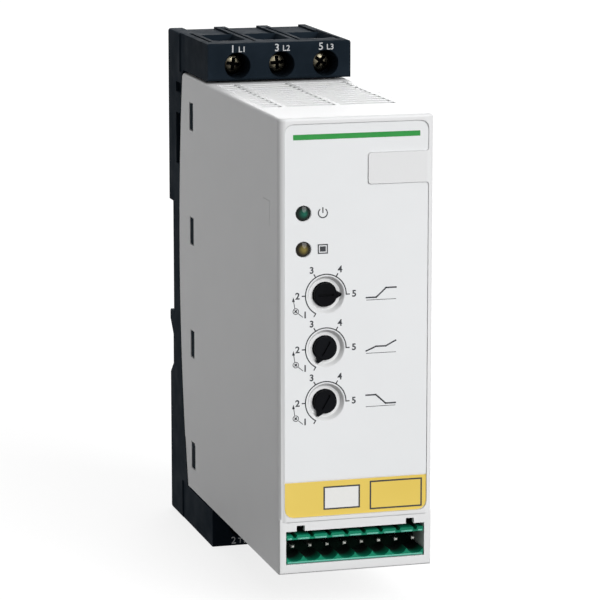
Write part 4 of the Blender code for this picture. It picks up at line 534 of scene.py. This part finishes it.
# Painted shade: the head's colour goes to this near black between these depths behind its face, in the
# cross and round the dome's rim.
CROSS_SHADE = (0.0015, 0.0015, 0.0015)
CROSS_FADE = (0.00024, 0.00060)
THREAD_COLOURS = ((0.30, 0.26, 0.18), (0.46, 0.41, 0.30))
CAGE_COLOURS = ((0.20, 0.20, 0.21), (0.36, 0.36, 0.37))
STRIP_COLOURS = ((0.30, 0.27, 0.23), (0.46, 0.43, 0.39))
SPRING_COLOURS = ((0.30, 0.30, 0.31), (0.55, 0.55, 0.56))
LINE_SCALE = 900.0
LINE_DEPTH = 0.00001
LINE_STRETCH = (1.0, 0.06, 1.0)
PLATE_MIDDLE = (0.36, 0.64)
HEAD_DOME = (
    (0.0, 0.0), (0.0012, 0.00004), (0.0022, 0.00022), (0.0028, 0.00050), (0.0032, 0.00090),
    (0.0033, 0.00130),
)
HEAD_THICKNESS = 0.0023
HEAD_STEPS = 48
HEAD_SHARP = 30.0
SHANK_RADIUS = 0.0017
SHANK_TIP = 0.0004
CROSS_LENGTH = 0.0052
CROSS_WIDTH = 0.0014
CROSS_DEPTH = 0.0016
CROSS_TAPER = 0.62
CROSS_TURNS = {1: 8.0, 2: -4.0, 3: 38.0}
THREAD_PITCH = 0.0006
THREAD_STEPS = 16
THREAD_START = 0.0030
THREAD_END = 0.0008
THREAD_TOOTH = ((0.00168, -0.4), (0.00184, -0.06), (0.00184, 0.06), (0.00168, 0.4))
CAGE_SHARP = 40.0
SPRING_SHARP = 60.0


def make_worked_metal():
    """Plated or drawn metal: long faint drawing lines, cloudy plating and small specks."""
    tree, start, end = new_skin("worked metal")
    where = start.outputs["Vector"]
    stretch = tree.nodes.new("ShaderNodeMapping")
    stretch.inputs["Scale"].default_value = LINE_STRETCH
    tree.links.new(where, stretch.inputs["Vector"])
    drawn = stretch.outputs["Vector"]
    lines = noise_in(tree, drawn, start.outputs["Scale"], detail=3.0, roughness=0.6)
    plate = range_in(tree, noise_in(tree, where, scale=240.0, detail=2.0), *PLATE_MIDDLE)
    colour = mix_in(tree, plate, start.outputs["Deep"], start.outputs["Pale"])
    gloss = range_in(tree, lines, *NOISE_MIDDLE, start.outputs["Smooth"], start.outputs["Rough"])
    tree.links.new(colour, end.inputs["Colour"])
    tree.links.new(gloss, end.inputs["Roughness"])
    tree.links.new(lines, end.inputs["Height"])
    return tree


WORKED_METAL = make_worked_metal()


def metal(name, colours, roughness, lines=LINE_SCALE, depth=LINE_DEPTH, shade=None):
    """Worked metal, with a shade(tree, where, colour) that may paint shade into its colour in places."""
    made, tree, shader, where = finish_base(name)
    skin = place_skin(tree, WORKED_METAL, where, colours, lines, roughness)
    colour = shade(tree, where, skin["Colour"]) if shade else skin["Colour"]
    tree.links.new(colour, shader.inputs["Base Color"])
    tree.links.new(skin["Roughness"], shader.inputs["Roughness"])
    shader.inputs["Metallic"].default_value = 1.0
    bump_in(tree, shader, skin["Height"], depth)
    return made


def sink_in(tree, where, front, fade):
    """Nought at a front face, rising to one with the depth behind it."""
    parts = tree.nodes.new("ShaderNodeSeparateXYZ")
    tree.links.new(where, parts.inputs[0])
    return range_in(tree, parts.outputs["Y"], front + fade[0], front + fade[1])


def screw_plate(tag):
    """Zinc plate with its pale clouds as painted reflections, and painted shade that turns it near black
    down in the cross and round the rim of the dome.
    """
    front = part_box(f"terminal_screw_{tag}1")[0].y

    def darken(tree, where, colour):
        return mix_in(tree, sink_in(tree, where, front, CROSS_FADE), colour, CROSS_SHADE)

    return metal("yellow zinc plate " + tag, SCREW_PLATE_AND_PAINTED_REFLECTIONS, roughness=(0.20, 0.36), shade=darken)


def cross_cutter(place, turn):
    """A tapered bar that cuts one arm of the cross into a screw's head."""
    bm = bmesh.new()
    size = Matrix.Diagonal((CROSS_LENGTH, 2 * CROSS_DEPTH, CROSS_WIDTH, 1.0))
    bmesh.ops.create_cube(bm, size=1.0, matrix=size)
    deep = [vert for vert in bm.verts if vert.co.y > 0.0]
    bmesh.ops.scale(bm, vec=(CROSS_TAPER, 1.0, CROSS_TAPER), verts=deep)
    place = Matrix.Translation(place) @ Matrix.Rotation(math.radians(turn), 4, "Y")
    bmesh.ops.transform(bm, matrix=place, verts=bm.verts)
    bmesh.ops.recalc_face_normals(bm, faces=bm.faces)
    return mesh_object("cutter", bm)


def pan_screw(screw, turn, finish):
    """A pan-head screw, spun from half its outline, with the cross cut into its head."""
    low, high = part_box(screw)
    x, z = middle_of(screw)
    length = high.y - low.y
    shank = (
        (HEAD_DOME[-1][0], HEAD_THICKNESS), (SHANK_RADIUS, HEAD_THICKNESS),
        (SHANK_RADIUS, length - SHANK_TIP), (SHANK_RADIUS - SHANK_TIP, length), (0.0, length),
    )
    bm = bmesh.new()
    outline = [bm.verts.new((x + radius, low.y + depth, z)) for radius, depth in HEAD_DOME + shank]
    edges = [bm.edges.new(pair) for pair in zip(outline, outline[1:])]
    bmesh.ops.spin(
        bm, geom=outline + edges, cent=(x, low.y, z), axis=(0.0, 1.0, 0.0), angle=2 * math.pi,
        steps=HEAD_STEPS, use_merge=True, use_duplicate=False,
    )
    bmesh.ops.remove_doubles(bm, verts=bm.verts, dist=WELD)
    bmesh.ops.recalc_face_normals(bm, faces=bm.faces)
    blank = mesh_object("blank", bm)
    cutters = [cross_cutter((x, low.y, z), turn), cross_cutter((x, low.y, z), turn + 90.0)]
    for cutter in cutters:
        cut = blank.modifiers.new("cross", "BOOLEAN")
        cut.operation = "DIFFERENCE"
        cut.solver = "EXACT"
        cut.object = cutter
    graph = bpy.context.evaluated_depsgraph_get()
    shaped = bpy.data.meshes.new_from_object(blank.evaluated_get(graph))
    for spare in cutters + [blank]:
        bpy.data.objects.remove(spare)
    bm = bmesh.new()
    bm.from_mesh(shaped)
    bpy.data.meshes.remove(shaped)
    skin_piece(screw, bm, finish, HEAD_SHARP)


def roll_thread(screw, index_name, finish):
    """A helical ridge spun from one small tooth along a screw's shank, inside the shank's own length."""
    low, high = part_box(screw)
    x, z = middle_of(screw)
    start = low.y + THREAD_START
    turns = int((high.y - THREAD_END - start) / THREAD_PITCH)
    bm = bmesh.new()
    tooth = [
        bm.verts.new((x + radius, start + share * THREAD_PITCH, z)) for radius, share in THREAD_TOOTH
    ]
    edges = [bm.edges.new(pair) for pair in zip(tooth, tooth[1:])]
    bmesh.ops.spin(
        bm, geom=tooth + edges, cent=(x, start, z), axis=(0.0, 1.0, 0.0),
        dvec=(0.0, THREAD_PITCH / THREAD_STEPS, 0.0), angle=2 * math.pi * turns,
        steps=THREAD_STEPS * turns, use_merge=False, use_duplicate=False,
    )
    ends = [edge for edge in bm.edges if edge.is_boundary]
    bmesh.ops.holes_fill(bm, edges=ends, sides=0)
    bmesh.ops.recalc_face_normals(bm, faces=bm.faces)
    piece = mesh_object("thread_" + index_name, bm, finish)
    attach(piece, "screw_" + index_name)


thread_plate = metal("yellow zinc thread", THREAD_COLOURS, roughness=(0.24, 0.40))
cage_plate = metal("clear zinc plate", CAGE_COLOURS, roughness=(0.28, 0.46))
strip_tin = metal("tinned copper", STRIP_COLOURS, roughness=(0.22, 0.38))
spring_wire = metal("drawn spring wire", SPRING_COLOURS, roughness=(0.24, 0.36))
for block_tag in ("u", "l"):
    head_plate = screw_plate(block_tag)
    for number in (1, 2, 3):
        own_name = f"{block_tag}{number}"
        pan_screw("terminal_screw_" + own_name, CROSS_TURNS[number], head_plate)
        roll_thread("terminal_screw_" + own_name, own_name, thread_plate)
        smoothed("clamp_cage_" + own_name, cage_plate, CAGE_SHARP)
        dress("busbar_" + own_name, strip_tin)

spring_skin = smoothed("latch_spring", spring_wire, SPRING_SHARP, "housing")
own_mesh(spring_skin)


# Front cover. One deep shell of pale grey plastic, cooler and smoother than the base, with a satin skin on
# its front and sides. It snaps over the fingers of the base, and its finest grain softens the highlights.
COVER_COLOURS = ((0.794, 0.798, 0.803), (0.802, 0.806, 0.811))
smoothed("front_cover", moulded_plastic(
    "pale cover plastic", COVER_COLOURS, roughness=(0.46, 0.50), grain=4200.0, depth=0.000012,
))


# Front label and yellow strip. Two polyester films lie in the cover's recess, held by their glued backs.
# They are screen-printed with a green line, lamp symbols, a scale and a small drawing of a ramp for each
# dial, and two plain boxes on the strip.
FILM_COLOURS = ((0.825, 0.838, 0.848), (0.850, 0.862, 0.872))
YELLOW_COLOURS = ((0.80, 0.58, 0.10), (0.86, 0.64, 0.13))
FILM_DEPTH = 0.000006
INK_DARK = (0.012, 0.014, 0.020)
INK_GREEN = (0.001, 0.27, 0.028)
INK_BLANK = (0.84, 0.84, 0.82)
BLANK_WORN = 0.97
PRINT_RISE = 0.00002
RULE_HEIGHT = 0.0540
RULE_THICKNESS = 0.0015
RULE_MARGIN = 0.0024
LINE_WIDTH = 0.00033
HAIR_LINE = LINE_WIDTH * 0.5
FINE_LINE = LINE_WIDTH * 0.6
BOLD_LINE = LINE_WIDTH * 1.3
FRAME_LINE = 0.00045
ARC_STEP = 6
DIAL_RING = 0.0059
DIAL_SWEEP = 240.0
DIAL_STOPS = (240.0, 180.0, 120.0, 60.0, 0.0)
TICK_LENGTH = 0.0009
NUMBER_RADIUS = 0.0082
NUMBER_SIZE = 0.0026
NUMBER_WEIGHT = 0.00007
FIRST_NUMBER_PLACE = (-0.0060, -0.0054)
ADJUST_PLACE = (-0.0087, -0.0042)
ADJUST_RADIUS = 0.0008
ADJUST_CROSS = ADJUST_RADIUS * 1.3
ARROW_FOOT = (-0.0003, 0.0009)
ARROW_NECK = (-0.0006, 0.0028)
ARROW_TIP = (-0.00068, 0.0038)
ARROW_ROWS = 4
ARROW_ROW = 0.0003
ARROW_POINT = 0.00015
ARROW_GROWTH = 0.0002
TAIL_START = (0.0008, -0.0007)
TAIL_END = (0.0020, -0.0017)
RAMP_X = 0.0072
RAMP_SIZE = (0.0086, 0.0026)
RAMP_AXIS_DROP = 0.0007
RAMPS = ((0.0, 0.0, 1.0, 1.0), (0.0, 0.45, 0.45, 1.0), (1.0, 1.0, 0.0, 0.0))
LAMP_SYMBOL_X = -0.0098
ON_RING = 0.0013
ON_RING_START = 125.0
ON_RING_SWEEP = 290.0
ON_STROKE = 0.0016
FULL_FRAME = (0.0013, 0.0012)
FULL_BLOCK = (0.0017, 0.0015)
WIDE_BOX_LEFT = 0.0043
WIDE_BOX_INSETS = (0.0014, 0.0011, 0.0010)
BLANK_BOX_SIDES = (-0.0093, 0.0010)
BLANK_BOX_INSETS = (0.0019, 0.0018)
BLANK_WIDTH = 0.0100
BLANK_INSETS = 0.0040
BLANK_SINK = 0.00001

label_low, label_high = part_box("front_label")
PRINT_Y = label_low.y - PRINT_RISE


def printed_film(name, colours):
    """A smooth film with a faint orange-peel surface."""
    made, tree, shader, where = finish_base(name)
    tone = cloud_in(tree, where, scale=30.0, detail=2.0)
    gloss = cloud_in(tree, where, scale=220.0, detail=3.0, ends=(0.30, 0.42))
    peel = noise_in(tree, where, scale=700.0, detail=2.0)
    tree.links.new(mix_in(tree, tone, *colours), shader.inputs["Base Color"])
    tree.links.new(gloss, shader.inputs["Roughness"])
    bump_in(tree, shader, peel, FILM_DEPTH)
    return made


def beside(point, shift):
    """A point moved across and up."""
    return point[0] + shift[0], point[1] + shift[1]


def ink_bar(bm, x, z, width, height, turn=0.0, y=PRINT_Y):
    """A printed bar, turned anticlockwise by some degrees as seen from the front."""
    place = Matrix.Translation((x, y, z)) @ Matrix.Rotation(-math.radians(turn), 4, "Y")
    place = place @ Matrix.Rotation(math.pi / 2, 4, "X") @ Matrix.Diagonal((width, height, 1.0, 1.0))
    bmesh.ops.create_grid(bm, x_segments=1, y_segments=1, size=0.5, matrix=place)


def ink_line(bm, start, end, width=LINE_WIDTH):
    """A printed straight line between two points of the label."""
    run = (end[0] - start[0], end[1] - start[1])
    length = math.hypot(*run)
    turn = math.degrees(math.atan2(run[1], run[0]))
    middle = ((start[0] + end[0]) / 2, (start[1] + end[1]) / 2)
    ink_bar(bm, *middle, length + width, width, turn)


def ink_arc(bm, x, z, radius, start, sweep, width=LINE_WIDTH):
    """A printed arc, its angles anticlockwise from three o'clock, spun from one short edge."""
    turn = math.radians(start)
    ends = [
        bm.verts.new((x + reach * math.cos(turn), PRINT_Y, z + reach * math.sin(turn)))
        for reach in (radius - width / 2, radius + width / 2)
    ]
    edge = bm.edges.new(ends)
    bmesh.ops.spin(
        bm, geom=ends + [edge], cent=(x, PRINT_Y, z), axis=(0.0, -1.0, 0.0), angle=math.radians(sweep),
        steps=int(sweep / ARC_STEP), use_merge=sweep >= 360.0, use_duplicate=False,
    )


def ink_frame(bm, low, high, width=FRAME_LINE):
    """The outline of a printed box between two corners."""
    middle = ((low[0] + high[0]) / 2, (low[1] + high[1]) / 2)
    for z in (low[1], high[1]):
        ink_bar(bm, middle[0], z, high[0] - low[0] + width, width)
    for x in (low[0], high[0]):
        ink_bar(bm, x, middle[1], width, high[1] - low[1] - width)


def print_dial_scale(bm, x, z):
    """The ring of a dial with its stops and numbers."""
    ink_arc(bm, x, z, DIAL_RING, 0.0, DIAL_SWEEP)
    for number, stop in enumerate(DIAL_STOPS, 1):
        way = (math.cos(math.radians(stop)), math.sin(math.radians(stop)))
        inner = (x + way[0] * DIAL_RING, z + way[1] * DIAL_RING)
        outer = (x + way[0] * (DIAL_RING + TICK_LENGTH), z + way[1] * (DIAL_RING + TICK_LENGTH))
        ink_line(bm, inner, outer)
        shift = (way[0] * NUMBER_RADIUS, way[1] * NUMBER_RADIUS) if number > 1 else FIRST_NUMBER_PLACE
        ink_text(bm, str(number), x + shift[0], PRINT_Y, z + shift[1], NUMBER_SIZE, NUMBER_WEIGHT)


def print_adjust_mark(bm, x, z):
    """The small screw mark at a dial's lower left, with an arrow up from it and a tail to the ring."""
    mark = beside((x, z), ADJUST_PLACE)
    ink_arc(bm, *mark, ADJUST_RADIUS, 0.0, 360.0, FINE_LINE)
    for turn in (45.0, 135.0):
        ink_bar(bm, *mark, ADJUST_CROSS, LINE_WIDTH, turn)
    ink_line(bm, beside(mark, ARROW_FOOT), beside(mark, ARROW_NECK), FINE_LINE)
    tip = beside(mark, ARROW_TIP)
    for row in range(ARROW_ROWS):
        width = ARROW_POINT + row * ARROW_GROWTH
        ink_bar(bm, tip[0], tip[1] - row * ARROW_ROW, width, ARROW_ROW)
    ink_line(bm, beside(mark, TAIL_START), beside(mark, TAIL_END), FINE_LINE)


def print_ramp(bm, x, z, heights):
    """A small drawing of voltage over time, its heights from nought to one at even steps."""
    width, rise = RAMP_SIZE
    left, foot = x - width / 2, z - rise / 2
    step = width / (len(heights) - 1)
    points = [(left + index * step, foot + rise * value) for index, value in enumerate(heights)]
    for start, end in zip(points, points[1:]):
        ink_line(bm, start, end, BOLD_LINE)
    axis = foot - RAMP_AXIS_DROP
    ink_line(bm, (left, axis), (x + width / 2, axis), HAIR_LINE)


def print_lamp_symbols(bm):
    """A broken ring with a stroke beside the upper lamp, and a filled box beside the lower one."""
    z = middle_of("light_pipe_upper")[1]
    ink_arc(bm, LAMP_SYMBOL_X, z, ON_RING, ON_RING_START, ON_RING_SWEEP)
    ink_bar(bm, LAMP_SYMBOL_X, z + ON_STROKE / 2, LINE_WIDTH, ON_STROKE)
    z = middle_of("light_pipe_lower")[1]
    low = (LAMP_SYMBOL_X - FULL_FRAME[0], z - FULL_FRAME[1])
    ink_frame(bm, low, beside((LAMP_SYMBOL_X, z), FULL_FRAME), LINE_WIDTH)
    ink_bar(bm, LAMP_SYMBOL_X, z, *FULL_BLOCK)


def print_label():
    """All that is printed on the label: the dark print in one piece, and the green line."""
    bm = bmesh.new()
    for index, heights in enumerate(RAMPS, 1):
        x, z = middle_of(f"dial_pot_{index}")
        print_dial_scale(bm, x, z)
        print_adjust_mark(bm, x, z)
        print_ramp(bm, RAMP_X, z, heights)
    print_lamp_symbols(bm)
    ink_piece("label_print", bm, printed_ink("dark screen print", INK_DARK))
    bm = bmesh.new()
    width = label_high.x - label_low.x - 2 * RULE_MARGIN
    ink_bar(bm, (label_low.x + label_high.x) / 2, RULE_HEIGHT, width, RULE_THICKNESS)
    ink_piece("label_rule", bm, printed_ink("green screen print", INK_GREEN))


def print_strip():
    """The outlines of two boxes on the yellow strip, and the pale field inside the left one."""
    low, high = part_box("yellow_strip")
    bm = bmesh.new()
    side, foot, head = WIDE_BOX_INSETS
    ink_frame(bm, (WIDE_BOX_LEFT, low.z + foot), (high.x - side, high.z - head))
    left, right = BLANK_BOX_SIDES
    foot, head = BLANK_BOX_INSETS
    ink_frame(bm, (left, low.z + foot), (right, high.z - head))
    ink_piece("strip_print", bm, printed_ink("dark strip print", INK_DARK))
    bm = bmesh.new()
    height = high.z - low.z - BLANK_INSETS
    ink_bar(bm, (left + right) / 2, (low.z + high.z) / 2, BLANK_WIDTH, height, y=PRINT_Y + BLANK_SINK)
    ink_piece("strip_blank", bm, printed_ink("pale strip print", INK_BLANK, BLANK_WORN))


dress("front_label", printed_film("white label film", FILM_COLOURS))
dress("yellow_strip", printed_film("yellow label film", YELLOW_COLOURS))
print_label()
print_strip()


# Dials. Three black knobs with a pointer nose are moulded in plastic and sit in dished holes of the cover.
# Each is pressed on the shaft of a small potentiometer, which is soldered to the board behind.
KNOB_COLOURS = ((0.0016, 0.0018, 0.0026), (0.0040, 0.0046, 0.0062))
KNOB_SHARP = 40.0
POT_COLOURS = ((0.03, 0.05, 0.10), (0.05, 0.08, 0.14))
knob_plastic = moulded_plastic(
    "black knob plastic", KNOB_COLOURS, roughness=(0.36, 0.50), grain=2200.0, specular=0.05,
)
pot_case = moulded_plastic("potentiometer case", POT_COLOURS, roughness=(0.40, 0.55))
for number in (1, 2, 3):
    smoothed(f"dial_knob_{number}", knob_plastic, KNOB_SHARP)
    dress(f"dial_pot_{number}", pot_case)


# Indicator lamps. Each is a light pipe of clear coloured plastic with a domed tip, pushed into the cover
# from behind over a small lamp that is soldered to the board.
# Painted light and shade: each lens is darkest at the rim of its dome and palest in the middle, for the
# shade in the hole round it and the light seen through it.
GREEN_LENS_AND_PAINTED_SHADE = ((0.000, 0.008, 0.005), (0.000, 0.060, 0.036), (0.004, 0.200, 0.125))
AMBER_LENS_AND_PAINTED_SHADE = ((0.014, 0.010, 0.002), (0.110, 0.084, 0.016), (0.360, 0.280, 0.060))
LENS_LIT_MIDDLE = 0.0003
LENS_SHADED_RIM = 0.0015
CHIP_COLOURS = ((0.62, 0.60, 0.54), (0.74, 0.72, 0.66))


def lens_plastic(name, colours, node):
    """Coloured clear plastic under a hard gloss, with painted shade at the rim of its dome and a paler
    middle painted as the light seen through it.
    """
    made, tree, shader, where = finish_base(name)
    deep, mid, pale = colours
    middle = sum(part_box(node), Vector()) / 2
    away = tree.nodes.new("ShaderNodeVectorMath")
    away.operation = "DISTANCE"
    flat = tree.nodes.new("ShaderNodeMapping")
    flat.inputs["Scale"].default_value = (1.0, 0.0, 1.0)
    tree.links.new(where, flat.inputs["Vector"])
    tree.links.new(flat.outputs["Vector"], away.inputs[0])
    away.inputs[1].default_value = (middle.x, 0.0, middle.z)
    rim = range_in(tree, away.outputs["Value"], LENS_LIT_MIDDLE, LENS_SHADED_RIM)
    clear = mix_in(tree, noise_in(tree, where, scale=900.0, detail=2.0), mid, pale)
    gloss = cloud_in(tree, where, scale=500.0, detail=2.0, ends=(0.05, 0.12))
    tree.links.new(mix_in(tree, rim, clear, deep), shader.inputs["Base Color"])
    tree.links.new(gloss, shader.inputs["Roughness"])
    shader.inputs["Specular IOR Level"].default_value = 0.22
    return made


lamp_body = moulded_plastic("lamp body", CHIP_COLOURS, roughness=(0.35, 0.5))
smoothed("light_pipe_upper", lens_plastic("green lens", GREEN_LENS_AND_PAINTED_SHADE, "light_pipe_upper"))
smoothed("light_pipe_lower", lens_plastic("amber lens", AMBER_LENS_AND_PAINTED_SHADE, "light_pipe_lower"))
dress("lamp_chip_upper", lamp_body)
dress("lamp_chip_lower", lamp_body)


# Plug header. A green moulded shroud with a round trough for each pole holds square tinned pins, which are
# pressed through it and soldered to the control board.
HEADER_COLOURS = ((0.002, 0.165, 0.090), (0.004, 0.225, 0.125))
# Painted shade: the header's colour fades to this near black between these depths behind its front.
HEADER_SHADE = (0.000, 0.006, 0.003)
HEADER_FADE = (0.0008, 0.0052)
HEADER_ROOF = 0.0013
# The beads are a paler green than the header: a painted highlight along the edges.
BEAD_HIGHLIGHT_COLOURS = ((0.060, 0.370, 0.270), (0.090, 0.430, 0.320))
BEAD_END = 0.0002
BEAD_GAP = 0.0015
BEAD_RISE = 0.00022
BEAD_HEIGHT = 0.00055
BEAD_ROUND = BEAD_RISE * 0.9
PIN_COLOURS = ((0.30, 0.30, 0.28), (0.50, 0.50, 0.47))
POLES = range(1, 9)


def header_plastic():
    """Green plastic with painted shade: its colour goes near black down into the troughs, and its gloss
    falls away there.
    """
    made, tree, shader, where = finish_base("green header plastic")
    roughness = (0.34, 0.48)
    skin = place_skin(tree, MOULDED_SKIN, where, HEADER_COLOURS, GRAIN_SCALE, roughness)
    trough_shade = sink_in(tree, where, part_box("plug_header")[0].y, HEADER_FADE)
    gloss = range_in(tree, trough_shade, 0.0, 1.0, to_low=skin["Roughness"], to_high=1.0)
    tree.links.new(mix_in(tree, trough_shade, skin["Colour"], HEADER_SHADE), shader.inputs["Base Color"])
    tree.links.new(gloss, shader.inputs["Roughness"])
    shader.inputs["Specular IOR Level"].default_value = 0.16
    bump_in(tree, shader, skin["Height"], GRAIN_DEPTH)
    return made


def header_beads():
    """The rounded bead on the roof's lower edge, broken over each pin, and the one along the foot, in a
    paler green that is a painted highlight.
    """
    low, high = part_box("plug_header")
    pins = [sum(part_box(f"plug_pin_{pole}"), Vector()).x / 2 for pole in POLES]
    starts = [low.x + BEAD_END] + [pin + BEAD_GAP / 2 for pin in pins]
    ends = [pin - BEAD_GAP / 2 for pin in pins] + [high.x - BEAD_END]
    roof = high.z - HEADER_ROOF + BEAD_HEIGHT / 2
    runs = [(start, end, roof) for start, end in zip(starts, ends)]
    runs.append((low.x + BEAD_END, high.x - BEAD_END, low.z + BEAD_HEIGHT / 2))
    bm = bmesh.new()
    for start, end, z in runs:
        place = Matrix.Translation(((start + end) / 2, low.y, z))
        size = Matrix.Diagonal((end - start, 2 * BEAD_RISE, BEAD_HEIGHT, 1.0))
        bmesh.ops.create_cube(bm, size=1.0, matrix=place @ size)
    round_edges(bm, list(bm.edges), BEAD_ROUND)
    edge_highlight_plastic = moulded_plastic("green header edge highlight", BEAD_HIGHLIGHT_COLOURS, roughness=(0.28, 0.40))
    piece = mesh_object("header_beads", bm, edge_highlight_plastic)
    piece.data.shade_smooth()
    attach(piece, frame["nodes"]["plug_header"]["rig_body"])


smoothed("plug_header", header_plastic())
header_beads()
pin_tin = metal("tinned pin", PIN_COLOURS, roughness=(0.20, 0.34))
for pole in POLES:
    dress(f"plug_pin_{pole}", pin_tin)


# Boards. Both are glass-fibre laminate under a green solder resist, with copper tracks that show as paler
# lines. One stands in the base and carries the power, and one sits on posts behind the cover's front.
RESIST_COLOURS = ((0.006, 0.070, 0.028), (0.016, 0.120, 0.048))
TRACK_COLOUR = (0.040, 0.190, 0.085)
TRACK_SCALE = 260.0
TRACK_WIDTH = 0.06
TRACK_DEPTH = 0.00003


def board_laminate(name):
    """Solder resist with the tracks under it."""
    made, tree, shader, where = finish_base(name)
    turn = tree.nodes.new("ShaderNodeMapping")
    turn.inputs["Rotation"].default_value = (math.pi / 2, 0.0, 0.0)
    tree.links.new(where, turn.inputs["Vector"])
    tracks = tree.nodes.new("ShaderNodeTexBrick")
    tracks.inputs["Scale"].default_value = TRACK_SCALE
    tracks.inputs["Mortar Size"].default_value = TRACK_WIDTH
    tracks.inputs["Color1"].default_value = (0.0, 0.0, 0.0, 1.0)
    tracks.inputs["Color2"].default_value = (0.0, 0.0, 0.0, 1.0)
    tracks.inputs["Mortar"].default_value = (1.0, 1.0, 1.0, 1.0)
    tree.links.new(turn.outputs["Vector"], tracks.inputs["Vector"])
    resist = mix_in(tree, cloud_in(tree, where, scale=60.0, detail=3.0), *RESIST_COLOURS)
    colour = mix_in(tree, tracks.outputs["Color"], resist, TRACK_COLOUR)
    gloss = cloud_in(tree, where, scale=500.0, detail=2.0, ends=(0.22, 0.34))
    tree.links.new(colour, shader.inputs["Base Color"])
    tree.links.new(gloss, shader.inputs["Roughness"])
    bump_in(tree, shader, tracks.outputs["Color"], TRACK_DEPTH)
    return made


laminate = board_laminate("green board laminate")
dress("control_board", laminate)
dress("power_board", laminate)


# Power parts. Two relays in dark plastic cases are soldered to the power board, and two power modules in
# moulded epoxy below them are pressed against a heatsink of extruded aluminium.
RELAY_COLOURS = ((0.035, 0.040, 0.046), (0.060, 0.066, 0.074))
EPOXY_COLOURS = ((0.010, 0.010, 0.011), (0.022, 0.022, 0.024))
EXTRUSION_COLOURS = ((0.50, 0.51, 0.52), (0.68, 0.69, 0.70))
relay_case = moulded_plastic("relay case", RELAY_COLOURS, roughness=(0.32, 0.46))
module_epoxy = moulded_plastic(
    "moulded epoxy", EPOXY_COLOURS, roughness=(0.55, 0.70), grain=1800.0, depth=0.00004,
)
for side in ("left", "right"):
    dress("bypass_relay_" + side, relay_case)
    dress("thyristor_" + side, module_epoxy)
dress("heatsink", metal(
    "drawn aluminium", EXTRUSION_COLOURS, roughness=(0.30, 0.48), lines=500.0, depth=0.00003,
))


# Control supply and cable. A small laminated transformer with a taped coil and two sleeved capacitors are
# soldered to the back of the control board, and a flat cable between two sockets joins the boards.
STEEL_COLOURS = ((0.09, 0.09, 0.10), (0.20, 0.20, 0.21))
TAPE_COLOURS = ((0.62, 0.42, 0.07), (0.76, 0.56, 0.13))
SLEEVE_COLOURS = ((0.016, 0.022, 0.055), (0.030, 0.040, 0.090))
SLEEVE_SHARP = 40.0
SOCKET_COLOURS = ((0.66, 0.64, 0.57), (0.78, 0.76, 0.69))
CABLE_COLOURS = ((0.34, 0.35, 0.37), (0.48, 0.49, 0.51))


def ribbed_finish(name, colours, axis, scale, roughness, depth, metallic=0.0):
    """Bands across one axis, for stacked sheets, wound tape or the cores of a flat cable."""
    made, tree, shader, where = finish_base(name)
    bands = tree.nodes.new("ShaderNodeTexWave")
    bands.bands_direction = axis
    bands.inputs["Scale"].default_value = scale
    bands.inputs["Distortion"].default_value = 0.4
    gloss = cloud_in(tree, where, scale=300.0, detail=3.0, ends=roughness)
    tree.links.new(where, bands.inputs["Vector"])
    tree.links.new(mix_in(tree, bands.outputs["Fac"], *colours), shader.inputs["Base Color"])
    tree.links.new(gloss, shader.inputs["Roughness"])
    shader.inputs["Metallic"].default_value = metallic
    bump_in(tree, shader, bands.outputs["Fac"], depth)
    return made


steel_sheets = ribbed_finish(
    "stacked steel sheets", STEEL_COLOURS, "Y", scale=640.0, roughness=(0.44, 0.58), depth=0.00006,
    metallic=0.7,
)
coil_tape = ribbed_finish(
    "yellow coil tape", TAPE_COLOURS, "Z", scale=90.0, roughness=(0.39, 0.53), depth=0.00008,
)
flat_cable = ribbed_finish(
    "flat cable", CABLE_COLOURS, "X", scale=250.0, roughness=(0.44, 0.58), depth=0.00012,
)
socket_plastic = moulded_plastic("socket plastic", SOCKET_COLOURS, roughness=(0.40, 0.52))
sleeve = moulded_plastic("capacitor sleeve", SLEEVE_COLOURS, roughness=(0.22, 0.34))
dress("transformer_core", steel_sheets)
dress("transformer_coil", coil_tape)
dress("link_ribbon", flat_cable)
dress("link_socket_rear", socket_plastic)
dress("link_socket_front", socket_plastic)
for side in ("left", "right"):
    smoothed("capacitor_" + side, sleeve, SLEEVE_SHARP)
